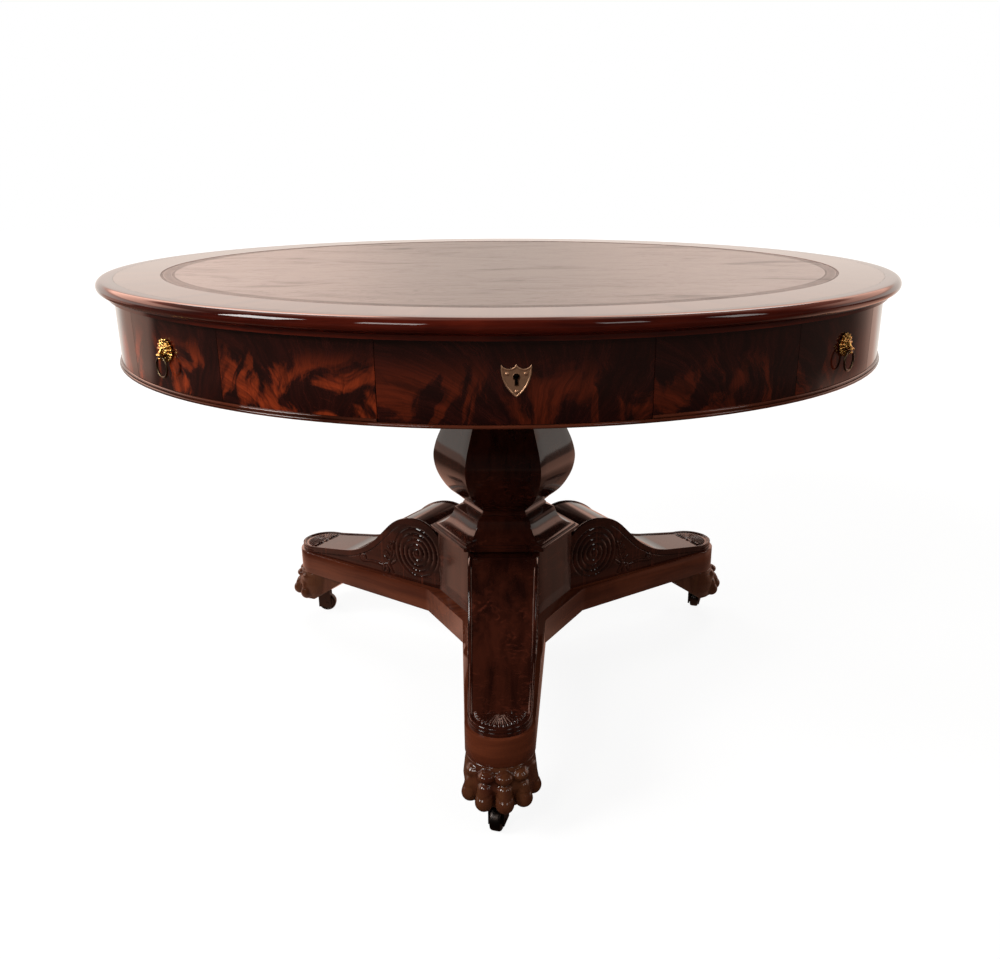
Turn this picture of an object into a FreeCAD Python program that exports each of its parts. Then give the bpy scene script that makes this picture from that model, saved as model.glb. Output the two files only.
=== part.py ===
import FreeCAD, Part
import math
import os
import Sketcher

# Revolving drum table: a round leather-topped drum with eight drawers, turning on a hexagonal
# column with three scrolled legs. Millimetres. The origin is on the floor under the column,
# +Z is up, and the first lock drawer faces -Y. Directions are given as azimuths: 0 faces -Y,
# and they grow towards +X.

doc = FreeCAD.newDocument("drum_table")
sheet = doc.addObject("Spreadsheet::Sheet", "Sizes")
Vector = FreeCAD.Vector
nodes = []

SIZES = [
    # Top
    ("top_height", 746, "writing surface above the floor"),
    ("top_radius", 620, "widest radius of the lipping"),
    ("edge_width", 24, "lipping, from its joint to the widest point"),
    ("edge_depth", 19, "lipping, top to underside"),
    ("edge_round", 7.4, "width of the rounded part of the lipping"),
    ("edge_bulge_drop", 10, "widest point of the lipping below the top"),
    ("edge_foot_inset", 11, "underside of the lipping inside its widest point"),
    ("edge_centre_inset", 9.9, "middle of the lipping's rounding inside its widest point"),
    ("under_fillet_depth", 6, "strip under the lipping"),
    ("under_fillet_inset", 14, "strip inside the widest point"),
    ("rim_width", 88, "from the leather to the widest point of the lipping"),
    ("leather_sink", 0.4, "leather surface below the veneer"),
    ("veneer_depth", 2.6, "crossbanding laid round the leather"),
    ("glue_line", 0.1, "gap left between glued faces"),
    # Frieze
    ("frieze_inset", 22, "drawer fronts inside the widest point of the lipping"),
    ("front_depth", 20, "thickness of the fronts and leaves"),
    ("frieze_depth", 89, "height of the fixed leaves"),
    ("lock_half_angle", 14.8, "half the arc of a lock drawer's front, degrees"),
    ("ring_half_angle", 10.07, "half the arc of a ring drawer's front, degrees"),
    ("front_gap", 0.5, "gap round each drawer front"),
    ("reed_height", 4, "each of the two reeds under the frieze"),
    ("upper_reed_stand", 2.4, "upper reed proud of the fronts"),
    ("lower_reed_stand", 4, "lower reed proud of the fronts"),
    # Carcase of the drum
    ("drum_floor_depth", 16, "board that the drawers run on"),
    ("partition_depth", 12, "boards between the drawers"),
    ("stop_length", 22, "drawer stop, across the drawer"),
    ("stop_width", 12, "drawer stop, along the drawer"),
    ("stop_height", 9, "drawer stop above the floor of the drum"),
    ("stop_spread", 80, "drawer stops off the middle of a lock drawer"),
    # Drawers
    ("lock_drawer_depth", 348, "lock drawer, front face to back"),
    ("ring_drawer_clear", 5.75, "back corners of a ring drawer off the lock drawers' boards"),
    ("carcase_inset", 4.6, "drawer sides inside the ends of the front"),
    ("headroom", 8.5, "drawer sides below the board over them"),
    ("back_drop", 6, "drawer back below the sides"),
    ("side_depth", 10, "thickness of sides and back"),
    ("drawer_floor_depth", 6, "drawer bottom board"),
    ("drawer_floor_rise", 5, "drawer bottom above the lower edge of the sides"),
    ("run_gap", 0.4, "drawer above the boards that it runs on"),
    ("side_gap", 0.8, "drawer to each partition"),
    # Lock and its shield plate
    ("lock_width", 62, "lock case"),
    ("lock_below_keyhole", 15, "lock case below the keyhole's centre"),
    ("lock_depth", 11, "lock case"),
    ("lock_fit", 0.2, "gap round the lock case"),
    ("lock_plate_depth", 1.6, "plate along the top of the lock"),
    ("keyhole_below_top", 64.5, "centre of the keyhole below the top"),
    ("keyhole_radius", 3.2, "round part of the keyhole"),
    ("keyhole_slot", 2.8, "width of the keyhole's slot"),
    ("keyhole_drop", 9, "bottom of the slot below the keyhole's centre"),
    ("key_post_radius", 1.4, "post that the key turns on"),
    ("shield_half_width", 16.4, "shield plate"),
    ("shield_rise", 13, "tips of the shield above the keyhole"),
    ("shield_drop", 21, "point of the shield below the keyhole"),
    ("shield_scoop", 5, "depth of each scoop in the shield's top"),
    ("shield_side_reach", 22, "centre of each side's curve beyond the middle line"),
    ("shield_depth", 1.2, "shield plate"),
    ("shield_seat", 0.05, "shield plate off the front"),
    ("shield_pin_radius", 1.7, "head of each pin"),
    ("shield_pin_inset", 3.6, "upper pins inside the tips"),
    ("shield_pin_drop", 6.6, "upper pins below the tips, and lower pin above the point"),
    ("shield_pin_stand", 0.7, "pin heads proud of the plate"),
    # Lion mask and ring
    ("mask_below_top", 64, "centre of the mask below the top"),
    ("mask_radius", 15.5, "mask with its mane"),
    ("mask_base_depth", 2.4, "back plate of the mask"),
    ("mask_face_radius", 9, "face inside the mane"),
    ("mask_face_depth", 6.4, "face, off the front"),
    ("mane_lobe_radius", 3.6, "locks of the mane"),
    ("mane_tip_radius", 1.8, "outer face of each lock"),
    ("mane_depth", 3.3, "locks of the mane, off the front"),
    ("muzzle_width", 8, "muzzle that holds the ring"),
    ("muzzle_depth", 12.4, "muzzle, off the front"),
    ("muzzle_height", 9, "muzzle, top to bottom"),
    ("ring_hole_radius", 2.3, "hole through the muzzle"),
    ("ring_radius", 12.8, "ring, to the middle of its wire"),
    ("ring_wire_radius", 1.5, "wire of the ring"),
    ("ring_stand", 9, "ring, off the front"),
    ("ring_drop", 7, "hole for the ring below the mask's centre"),
    # Pivot
    ("spindle_radius", 16, "iron spindle"),
    ("spindle_bury", 66, "spindle inside the column and bearer"),
    ("spindle_fit", 0.08, "running clearance of the spindle"),
    ("socket_radius", 92, "wooden socket in the drum"),
    ("socket_height", 44, "wooden socket in the drum"),
    ("washer_radius", 34, "washer on the socket"),
    ("washer_depth", 3, "washer on the socket"),
    ("nut_radius", 27, "nut, across corners, from its axis"),
    ("nut_height", 14, "nut"),
    ("nut_stub", 3, "spindle above the nut"),
    ("turn_gap", 0.3, "gap between faces that turn on each other"),
    ("bearer_radius", 150, "hexagonal bearer block, to its corners"),
    ("bearer_depth", 22, "bearer block"),
    # Column and plinth, radii to the corners of the hexagon
    ("column_bulb_radius", 126, "widest part of the column"),
    ("column_ring_radius", 75, "ring at the column's foot"),
    ("column_ring_depth", 5, "ring at the column's foot"),
    ("capital_depth", 18, "spreading top of the column"),
    ("capital_radius", 104, "top of the column"),
    ("cap_top_radius", 90, "top edge of the plinth cap's hollow"),
    ("cap_neck_depth", 6, "slope above the hollow"),
    ("cap_hollow_depth", 32, "height of the hollow"),
    ("cap_foot_radius", 122, "foot of the hollow"),
    ("cap_step_radius", 129, "upper step of the cap"),
    ("cap_step_depth", 3, "upper step of the cap"),
    ("cap_edge_radius", 135, "lower edge of the cap"),
    ("cap_edge_depth", 6, "lower edge of the cap"),
    ("plinth_radius", 122, "plinth block"),
    ("plinth_spin", -2.5, "turn of the base under the drum, degrees"),
    # Platform and legs
    ("platform_depth", 45, "platform"),
    ("platform_radius", 145, "middle of the platform"),
    ("pad_length", 84.5, "toe of the leg, from the hollow to the centre of its rounded end"),
    ("arm_end_radius", 51, "rounded end of each arm"),
    ("leg_end_radius", 46, "rounded end of each scrolled leg"),
    ("leg_rise", 128, "highest point of the scroll above the platform"),
    ("plinth_reveal", 19.1, "plinth block above the legs"),
    ("scroll_offset", 52, "scroll's centre beyond the plinth"),
    ("scroll_radius", 68, "round of the scroll on the plinth's side"),
    ("shoulder_radius", 96, "round of the scroll on the toe's side"),
    ("leg_slope", 45, "steepest slope of the leg, degrees"),
    ("slope_length", 41, "straight part of the slope"),
    ("hollow_radius", 167, "hollow below the slope"),
    ("pad_slope", 8, "slope where the hollow ends, degrees"),
    ("pad_height", 12, "flat toe of the leg above the platform"),
    # Feet
    ("foot_height", 58, "paw, castor plate to platform"),
    ("foot_offset", 14, "middle of the paw beyond the centre of the arm's rounded end"),
    ("foot_length_radius", 50, "paw, along the leg"),
    ("foot_width_radius", 55, "paw, across the leg"),
    ("ramp_length", 98, "block behind the paw"),
    ("ramp_foot", 15.3, "front of the block's foot behind the paw's middle"),
    ("ramp_half_width", 40, "block behind the paw"),
    ("toe_spread", 37, "angle from toe to toe, degrees"),
    ("knuckle_reach", 42, "foremost knuckles from the middle of the paw"),
    ("knuckle_side_reach", 42, "outermost knuckles from the middle of the paw"),
    ("knuckle_rise", 43, "knuckles above the foot of the paw"),
    ("knuckle_radius", 12, "knuckles"),
    ("toe_reach", 53, "foremost toe tips from the middle of the paw"),
    ("toe_side_reach", 47, "outermost toe tips from the middle of the paw"),
    ("toe_rise", 9.5, "toe tips above the foot of the paw"),
    ("toe_radius", 12.8, "toe tips"),
    # Castors
    ("castor_offset", 27, "castor pin beyond the centre of the arm's rounded end"),
    ("castor_headroom", 14, "foot of the paw above the wheel"),
    ("wheel_radius", 18, "castor wheel"),
    ("wheel_width", 16, "castor wheel"),
    ("wheel_round", 2.5, "rounded rim of the wheel"),
    ("trail", 14, "axle behind the castor pin"),
    ("axle_radius", 3, "castor axle"),
    ("axle_fit", 0.09, "running clearance of wheels and castor pins"),
    ("fork_gap", 1, "fork arm to wheel"),
    ("arm_depth", 3, "thickness of the fork arms"),
    ("arm_reach", 22, "fork arms ahead of the pin"),
    ("arm_back", 3, "fork arms behind the pin"),
    ("arm_floor", 11, "lower end of the fork arms above the floor"),
    ("crown_radius", 16.5, "crown of the fork"),
    ("crown_depth", 3, "crown of the fork"),
    ("plate_radius", 20, "castor plate"),
    ("plate_depth", 2.4, "castor plate"),
    ("pin_radius", 4, "castor pin"),
    ("pin_head_radius", 6.5, "head of the castor pin"),
    ("pin_head_depth", 2, "head of the castor pin"),
    # Shared
    ("overrun", 5, "how far cutting shapes run past what they cut"),
]

# Column outline from its foot to its top: shares of its length and of the bulb's radius
COLUMN_SHARES = [(0, 0.548), (0.036, 0.643), (0.087, 0.786), (0.155, 0.897), (0.23, 0.972), (0.317, 1),
                 (0.405, 0.96), (0.484, 0.889), (0.556, 0.813), (0.683, 0.683), (0.802, 0.571),
                 (0.913, 0.504), (1, 0.484)]

# Flare of the capital from its foot up: shares of its height, and of the way from neck to rim
CAPITAL_SHARES = [(0, 0), (0.33, 0.33), (0.67, 1), (1, 1)]

# Hollow of the plinth cap: shares of its height, from the foot up, and of the way in from foot to top
HOLLOW_SHARES = [(0, 0), (0.08, 0.28), (0.25, 0.56), (0.5, 0.78), (0.75, 0.92), (1, 1)]

# Paw outline: shares of the foot's height, of its length radius and of its width radius
PAW_SHARES = [(0, 0.86, 0.88), (0.2, 1, 1), (0.5, 0.98, 0.96), (0.78, 0.92, 0.86), (1, 0.91, 0.83)]

TOES = 5
LEGS = 3
QUARTERS = 4
HEX_SIDES = 6
MANE_LOCKS = 11
LEG_NAMES = ["front", "right", "left"]
# Rest direction of each castor's trail, degrees from +X
CASTOR_TURNS = [-108, 70, 0]
FULL_TURN = 360
QUARTER_TURN = 90
HALF_QUARTER = 45


def fill_sheet():
    for row, (name, value, note) in enumerate(SIZES, start=1):
        sheet.set("A%d" % row, name)
        sheet.set("B%d" % row, str(value))
        sheet.set("C%d" % row, note)
        sheet.setAlias("B%d" % row, name)
    doc.recompute()


def size(expression):
    """Number that an expression on the sheet gives."""
    return float(sheet.evalExpression(str(expression)))


def sized(obj, **expressions):
    """Bind properties to expressions on the sheet."""
    for name, expression in expressions.items():
        obj.setExpression(name, str(expression))
    return obj


def placed(obj, x="0", y="0", z="0"):
    for axis, expression in (("x", x), ("y", y), ("z", z)):
        if expression != "0":
            obj.setExpression("Placement.Base." + axis, expression)
    return obj


def turned_by(degrees):
    return FreeCAD.Placement(Vector(), FreeCAD.Rotation(Vector(0, 0, 1), degrees))


def keep(obj, name, azimuth=None):
    """Register a finished sub-part; an azimuth turns it from +X to where it belongs."""
    obj.Label = name
    if azimuth is not None:
        obj.Placement = turned_by(azimuth - QUARTER_TURN)
    nodes.append(obj)
    return obj


# Expressions used by more than one piece
FRONT_RADIUS = "(Sizes.top_radius - Sizes.frieze_inset)"
LEATHER_RADIUS = "(Sizes.top_radius - Sizes.rim_width)"
KEYHOLE = "(Sizes.top_height - Sizes.keyhole_below_top)"
MASK = "(Sizes.top_height - Sizes.mask_below_top)"
FRIEZE_TOP = "(Sizes.top_height - Sizes.edge_depth - Sizes.under_fillet_depth)"
BOARD_TOP = "(Sizes.top_height - Sizes.veneer_depth)"
LIP_RADIUS = "(Sizes.top_radius - Sizes.edge_width)"
FRIEZE_FOOT = "(%s - Sizes.frieze_depth)" % FRIEZE_TOP
REED_MIDDLE = "(%s - Sizes.reed_height)" % FRIEZE_FOOT
REED_FOOT = "(%s - 2 * Sizes.reed_height)" % FRIEZE_FOOT
INNER_RADIUS = "(%s - Sizes.front_depth)" % FRONT_RADIUS
GAP_ANGLE = "(Sizes.front_gap / %s * 180 / pi)" % FRONT_RADIUS
LEAF_HALF_ANGLE = "((%d - Sizes.lock_half_angle - Sizes.ring_half_angle) / 2)" % HALF_QUARTER
DRUM_FLOOR = "(%s + Sizes.reed_height)" % FRIEZE_FOOT
DRUM_FLOOR_FOOT = "(%s - Sizes.drum_floor_depth)" % DRUM_FLOOR
RUN_HEIGHT = "(%s + Sizes.run_gap)" % DRUM_FLOOR
CARCASE_HEIGHT = "(%s - Sizes.headroom - %s)" % (FRIEZE_TOP, RUN_HEIGHT)
LOCK_FOOT = "(%s - Sizes.lock_below_keyhole)" % KEYHOLE
PLINTH_FACE = "(Sizes.plinth_radius * cos(30))"
PLATFORM_FACE = "(Sizes.platform_radius * cos(30))"

# Heights from the floor up
PAW_FOOT = "(2 * Sizes.wheel_radius + Sizes.castor_headroom)"
PLATFORM_FOOT = "(%s + Sizes.foot_height)" % PAW_FOOT
PLATFORM_TOP = "(%s + Sizes.platform_depth)" % PLATFORM_FOOT
LEG_CREST = "(%s + Sizes.leg_rise)" % PLATFORM_TOP
SCROLL_DROP = "(Sizes.scroll_radius - sqrt(Sizes.scroll_radius ^ 2 - Sizes.scroll_offset ^ 2))"
CAP_FOOT = "(%s - %s + Sizes.plinth_reveal)" % (LEG_CREST, SCROLL_DROP)
CAP_STEP_FOOT = "(%s + Sizes.cap_edge_depth)" % CAP_FOOT
CAP_HOLLOW_FOOT = "(%s + Sizes.cap_step_depth)" % CAP_STEP_FOOT
CAP_HOLLOW_TOP = "(%s + Sizes.cap_hollow_depth)" % CAP_HOLLOW_FOOT
CAP_TOP = "(%s + Sizes.cap_neck_depth)" % CAP_HOLLOW_TOP
COLUMN_FOOT = "(%s + Sizes.glue_line)" % CAP_TOP
SHAFT_FOOT = "(%s + Sizes.column_ring_depth)" % COLUMN_FOOT

# Points of a leg's outline, and what hangs on its end
LEG_START = "(%s + Sizes.glue_line)" % PLINTH_FACE
SCROLL = "(%s + Sizes.scroll_offset)" % LEG_START
SHOULDER_X = "(%s + Sizes.shoulder_radius * sin(Sizes.leg_slope))" % SCROLL
SHOULDER_Z = "(%s - Sizes.shoulder_radius * (1 - cos(Sizes.leg_slope)))" % LEG_CREST
SLOPE_X = "(%s + Sizes.slope_length * cos(Sizes.leg_slope))" % SHOULDER_X
SLOPE_Z = "(%s - Sizes.slope_length * sin(Sizes.leg_slope))" % SHOULDER_Z
HOLLOW_X = "(%s + Sizes.hollow_radius * (sin(Sizes.leg_slope) - sin(Sizes.pad_slope)))" % SLOPE_X
HOLLOW_Z = "(%s - Sizes.hollow_radius * (cos(Sizes.pad_slope) - cos(Sizes.leg_slope)))" % SLOPE_Z
ARM_END = "(%s + Sizes.pad_length)" % HOLLOW_X
PAW_MIDDLE = "(%s + Sizes.foot_offset)" % ARM_END
CASTOR_REACH = "(%s + Sizes.castor_offset)" % ARM_END


def half_width(kind):
    """Half the width of a drawer carcase of the given kind."""
    return "(%s * sin(Sizes.%s_half_angle) - Sizes.carcase_inset)" % (INNER_RADIUS, kind)


def bay_edge(kind):
    """Outer face of the partition beside a drawer of the given kind."""
    return "(%s + Sizes.side_gap + Sizes.partition_depth)" % half_width(kind)


def drawer_back(kind):
    """Distance of a drawer's back from the axis. A ring drawer fills its bay between the lock drawers."""
    if kind == "lock":
        return "(%s - Sizes.lock_drawer_depth)" % FRONT_RADIUS
    return "((%s + Sizes.ring_drawer_clear) * sqrt(2) + %s)" % (bay_edge("lock"), half_width("ring"))


# Building blocks


def sketch_on(body, role, name, offset=None):
    plane = [feature for feature in body.Origin.OriginFeatures if feature.Role == role][0]
    sketch = body.newObject("Sketcher::SketchObject", name)
    sketch.AttachmentSupport = (plane, "")
    sketch.MapMode = "FlatFace"
    if offset:
        sketch.setExpression("AttachmentOffset.Base.z", offset)
    return sketch


def pin_point(sketch, geometry, position, x, y):
    """Fix a point of the sketch by two expressions."""
    for kind, axis, expression in (("DistanceX", -2, x), ("DistanceY", -1, y)):
        if expression == "0":
            sketch.addConstraint(Sketcher.Constraint("PointOnObject", geometry, position, axis))
            continue
        index = sketch.addConstraint(Sketcher.Constraint(kind, -1, 1, geometry, position, size(expression)))
        sketch.setExpression("Constraints[%d]" % index, expression)


def arc_between(here, there, anticlockwise, axis, centre):
    """Arc from one point to another. One coordinate of its centre is given, and its turn."""
    chord = there - here
    middle = (here + there) * 0.5
    if axis == "x":
        aside = 0 if chord.y == 0 else -chord.x * (centre - middle.x) / chord.y
        hub = Vector(centre, middle.y + aside, 0)
    else:
        aside = 0 if chord.x == 0 else -chord.y * (centre - middle.y) / chord.x
        hub = Vector(middle.x + aside, centre, 0)
    ends = (here, there) if anticlockwise else (there, here)
    start, stop = [math.atan2(end.y - hub.y, end.x - hub.x) for end in ends]
    if stop < start:
        stop += 2 * math.pi
    return Part.ArcOfCircle(Part.Circle(hub, Vector(0, 0, 1), (here - hub).Length), start, stop)


def draw_outline(sketch, points):
    """Closed outline. A point is (x, y), or (x, y, anticlockwise, axis, centre) where an arc leads on
    from it: axis and centre fix one coordinate of the arc's centre."""
    start = sketch.GeometryCount
    count = len(points)
    ends = []
    for index, point in enumerate(points):
        after = points[(index + 1) % count]
        here = Vector(size(point[0]), size(point[1]), 0)
        there = Vector(size(after[0]), size(after[1]), 0)
        if len(point) == 2:
            sketch.addGeometry(Part.LineSegment(here, there), False)
            ends.append((1, 2))
            continue
        sketch.addGeometry(arc_between(here, there, point[2], point[3], size(point[4])), False)
        # A sketch holds its arcs anticlockwise
        ends.append((1, 2) if point[2] else (2, 1))
    for index, point in enumerate(points):
        follower = (index + 1) % count
        sketch.addConstraint(Sketcher.Constraint(
            "Coincident", start + index, ends[index][1], start + follower, ends[follower][0]))
    for index, point in enumerate(points):
        pin_point(sketch, start + index, ends[index][0], point[0], point[1])
        if len(point) > 2:
            kind = "DistanceX" if point[3] == "x" else "DistanceY"
            constraint = Sketcher.Constraint(kind, -1, 1, start + index, 3, size(point[4]))
            number = sketch.addConstraint(constraint)
            sketch.setExpression("Constraints[%d]" % number, point[4])


def draw_circle(sketch, x, y, radius):
    circle = Part.Circle(Vector(size(x), size(y), 0), Vector(0, 0, 1), size(radius))
    number = sketch.addGeometry(circle, False)
    pin_point(sketch, number, 3, x, y)
    constraint = sketch.addConstraint(Sketcher.Constraint("Radius", number, size(radius)))
    sketch.setExpression("Constraints[%d]" % constraint, radius)


def rectangle(low_x, low_y, high_x, high_y):
    return [(low_x, low_y), (high_x, low_y), (high_x, high_y), (low_x, high_y)]


def new_body(name):
    body = doc.addObject("PartDesign::Body", name)
    return body


def turned_body(name, outline, angle=None):
    """Body turned about the vertical axis from an outline in radius and height."""
    body = new_body(name)
    sketch = sketch_on(body, "XZ_Plane", name + "_outline")
    draw_outline(sketch, outline)
    doc.recompute()
    turn = body.newObject("PartDesign::Revolution", name + "_turn")
    turn.Profile = sketch
    turn.ReferenceAxis = (sketch, ["V_Axis"])
    turn.Angle = FULL_TURN
    if angle:
        turn.Midplane = True
        turn.setExpression("Angle", angle)
    sketch.Visibility = False
    doc.recompute()
    return body


def padded_body(name, role, outline, length, offset=None, middle=False):
    body = new_body(name)
    sketch = sketch_on(body, role, name + "_outline", offset)
    draw_outline(sketch, outline)
    doc.recompute()
    pad = body.newObject("PartDesign::Pad", name + "_pad")
    pad.Profile = sketch
    pad.Midplane = middle
    pad.setExpression("Length", length)
    doc.recompute()
    return body


def pocket(body, name, role, draw, length=None):
    """Cut outwards, from the axis towards +X. Without a length it goes right through."""
    before = body.Shape.Volume
    sketch = sketch_on(body, role, name + "_outline")
    draw(sketch)
    doc.recompute()
    cut = body.newObject("PartDesign::Pocket", name)
    cut.Profile = sketch
    cut.Reversed = True
    if length:
        cut.Type = "Length"
        cut.setExpression("Length", length)
    else:
        cut.Type = "ThroughAll"
    doc.recompute()
    if not body.Shape.Volume < before:
        raise ValueError(name + " cuts nothing")


def box(name, low, lengths, degrees=0):
    block = doc.addObject("Part::Box", name)
    if degrees:
        block.Placement = turned_by(degrees)
    sized(block, Length=lengths[0], Width=lengths[1], Height=lengths[2])
    return placed(block, *low)


def cylinder(name, radius, height, low=("0", "0", "0"), across=False):
    rod = doc.addObject("Part::Cylinder", name)
    if across:
        rod.Placement = FreeCAD.Placement(Vector(), FreeCAD.Rotation(Vector(1, 0, 0), -QUARTER_TURN))
    sized(rod, Radius=radius, Height=height)
    return placed(rod, *low)


def prism(name, radius, height, z):
    block = doc.addObject("Part::Prism", name)
    block.Polygon = HEX_SIDES
    sized(block, Circumradius=radius, Height=height)
    return placed(block, z=z)


def hex_loft(name, sections, ruled=False):
    """Solid through level hexagons, each given as (height, radius to its corners)."""
    rings = []
    for number, (height, radius) in enumerate(sections):
        ring = doc.addObject("Part::RegularPolygon", "%s_section_%d" % (name, number))
        ring.Polygon = HEX_SIDES
        sized(ring, Circumradius=radius)
        rings.append(placed(ring, z=height))
    loft = doc.addObject("Part::Loft", name)
    loft.Sections = rings
    loft.Solid = True
    loft.Ruled = ruled
    return loft


def fused(name, pieces):
    joint = doc.addObject("Part::MultiFuse", name)
    joint.Shapes = pieces
    return joint


def shared(name, pieces):
    """What all the pieces have in common."""
    joint = doc.addObject("Part::MultiCommon", name)
    joint.Shapes = pieces
    return joint


def cut_away(name, base, tool):
    joint = doc.addObject("Part::Cut", name)
    joint.Base = base
    joint.Tool = tool
    return joint


def group(name, pieces):
    bundle = doc.addObject("Part::Compound", name)
    bundle.Links = pieces
    return bundle


def turned_copy(name, piece, degrees):
    copy = group(name, [piece])
    copy.Placement = turned_by(degrees)
    return copy


def from_shape(name, shape):
    piece = doc.addObject("Part::Feature", name)
    piece.Shape = shape
    return piece


# Top


def make_top():
    board = rectangle("0", FRIEZE_TOP, LIP_RADIUS, BOARD_TOP)
    keep(turned_body("top_board", board), "top_board")

    leather_top = "Sizes.top_height - Sizes.leather_sink"
    leather_foot = BOARD_TOP + " + Sizes.glue_line"
    leather_edge = LEATHER_RADIUS + " - Sizes.glue_line"
    keep(turned_body("leather", rectangle("0", leather_foot, leather_edge, leather_top)), "leather_inset")

    band = rectangle(LEATHER_RADIUS, BOARD_TOP, LIP_RADIUS, "Sizes.top_height")
    keep(turned_body("crossband", band), "crossband_rim")

    joint = LIP_RADIUS + " + Sizes.glue_line"
    foot = "Sizes.top_height - Sizes.edge_depth"
    foot_radius = "Sizes.top_radius - Sizes.edge_foot_inset"
    flat_radius = "Sizes.top_radius - Sizes.edge_round"
    bulge_height = "Sizes.top_height - Sizes.edge_bulge_drop"
    centre_radius = "Sizes.top_radius - Sizes.edge_centre_inset"
    nosing = [
        (joint, foot),
        (foot_radius, foot, True, "x", centre_radius),
        ("Sizes.top_radius", bulge_height, True, "x", centre_radius),
        (flat_radius, "Sizes.top_height"),
        (joint, "Sizes.top_height"),
    ]
    keep(turned_body("edge", nosing), "edge_moulding")

    fillet_edge = "Sizes.top_radius - Sizes.under_fillet_inset"
    strip = rectangle(joint, FRIEZE_TOP, fillet_edge, foot)
    keep(turned_body("under_fillet", strip), "under_fillet")


# Frieze and drum carcase


def make_frieze():
    leaf_outline = rectangle(INNER_RADIUS, FRIEZE_FOOT, FRONT_RADIUS, FRIEZE_TOP + " - Sizes.glue_line")
    leaf_angle = "2 * (%s - %s / 2)" % (LEAF_HALF_ANGLE, GAP_ANGLE)
    leaf_middle = size("Sizes.lock_half_angle + " + LEAF_HALF_ANGLE)
    leaves = []
    for quarter in range(QUARTERS):
        for side in (-1, 1):
            name = "leaf_%d" % len(leaves)
            leaf = turned_body(name, leaf_outline, leaf_angle)
            leaf.Placement = turned_by(QUARTER_TURN * quarter + side * leaf_middle)
            leaves.append(leaf)
    keep(group("leaves", leaves), "frieze_panels")

    def reed(foot, stand):
        """Half-round reed whose back runs under the fronts."""
        edge = "%s + Sizes.%s - Sizes.reed_height / 2" % (FRONT_RADIUS, stand)
        top = foot + " + Sizes.reed_height"
        return [(INNER_RADIUS, foot), (edge, foot, True, "x", edge), (edge, top), (INNER_RADIUS, top)]

    pieces = [turned_body("lower_reed", reed(REED_FOOT, "lower_reed_stand"))]
    ring_angle = "2 * (Sizes.ring_half_angle - %s / 2)" % GAP_ANGLE
    for quarter in range(QUARTERS):
        for place, angle in ((-1, leaf_angle), (0, ring_angle), (1, leaf_angle)):
            name = "reed_%d" % len(pieces)
            piece = turned_body(name, reed(REED_MIDDLE, "upper_reed_stand"), angle)
            reach = place * size("Sizes.ring_half_angle + " + LEAF_HALF_ANGLE)
            piece.Placement = turned_by(QUARTER_TURN * quarter + HALF_QUARTER + reach)
            pieces.append(piece)
    keep(group("reeds", pieces), "frieze_beads")


def make_carcase():
    hole = "Sizes.spindle_radius + Sizes.turn_gap"
    floor = rectangle(hole, DRUM_FLOOR_FOOT, INNER_RADIUS + " - Sizes.glue_line", DRUM_FLOOR)
    keep(turned_body("drum_floor", floor), "bottom_board")

    low = DRUM_FLOOR + " + Sizes.glue_line"
    rise = "%s - %s - 2 * Sizes.glue_line" % (FRIEZE_TOP, DRUM_FLOOR)
    rim = cylinder("partition_rim", INNER_RADIUS + " - Sizes.front_gap", "Sizes.top_height")
    lock_inner = half_width("lock") + " + Sizes.side_gap"
    lock_outer = bay_edge("lock")
    ring_inner = half_width("ring") + " + Sizes.side_gap"
    ring_outer = bay_edge("ring")

    # Two boards beside each lock drawer. One passes the corner of the well, the other butts against it.
    passing = box("passing_board", (lock_inner, lock_inner, low),
                  (FRONT_RADIUS, "Sizes.partition_depth", rise))
    butting = box("butting_board", (lock_outer + " + Sizes.glue_line", "-" + lock_outer, low),
                  (FRONT_RADIUS, "Sizes.partition_depth", rise))
    boards = [shared("passing_partition", [passing, rim]), shared("butting_partition", [butting, rim])]

    # Two boards beside each ring drawer, mitred against the boards of the lock drawers
    corner = "(%s + 2 * Sizes.glue_line) * sqrt(2)" % lock_outer
    quadrant = box("quadrant", (corner, "0", "0"),
                   ("Sizes.top_radius", "Sizes.top_radius", "Sizes.top_height"), -HALF_QUARTER)
    diagonal = []
    for number, edge in enumerate((ring_inner, "-" + ring_outer)):
        plain = box("diagonal_board_%d" % number, ("0", edge, low),
                    (FRONT_RADIUS, "Sizes.partition_depth", rise))
        diagonal.append(shared("diagonal_partition_%d" % number, [plain, rim, quadrant]))

    everything = []
    for quarter in range(QUARTERS):
        for board in boards:
            everything.append(turned_copy("partition_%d" % len(everything), board, QUARTER_TURN * quarter))
        for board in diagonal:
            degrees = QUARTER_TURN * quarter + HALF_QUARTER
            everything.append(turned_copy("partition_%d" % len(everything), board, degrees))
    keep(group("partitions", everything), "drawer_partitions")

    stops = []
    for kind, spread, turn in (("lock", "Sizes.stop_spread", 0), ("ring", "0", HALF_QUARTER)):
        back = drawer_back(kind) + " - Sizes.front_gap - Sizes.stop_width"
        for sign in ("+", "-") if spread != "0" else ("+",):
            side = "-Sizes.stop_length / 2"
            if spread != "0":
                side = ("%s %s %s" % (sign, spread, side)).lstrip("+ ")
            stop = box("stop_shape_%d" % len(stops), (back, side, low),
                       ("Sizes.stop_width", "Sizes.stop_length", "Sizes.stop_height"))
            for quarter in range(QUARTERS):
                stops.append(turned_copy("stop_%d" % len(stops), stop, QUARTER_TURN * quarter + turn))
    keep(group("stops", stops), "drawer_stops")


# Drawers, drawn facing +X and turned to their places


def draw_keyhole(sketch):
    draw_circle(sketch, "0", KEYHOLE, "Sizes.keyhole_radius")


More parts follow.
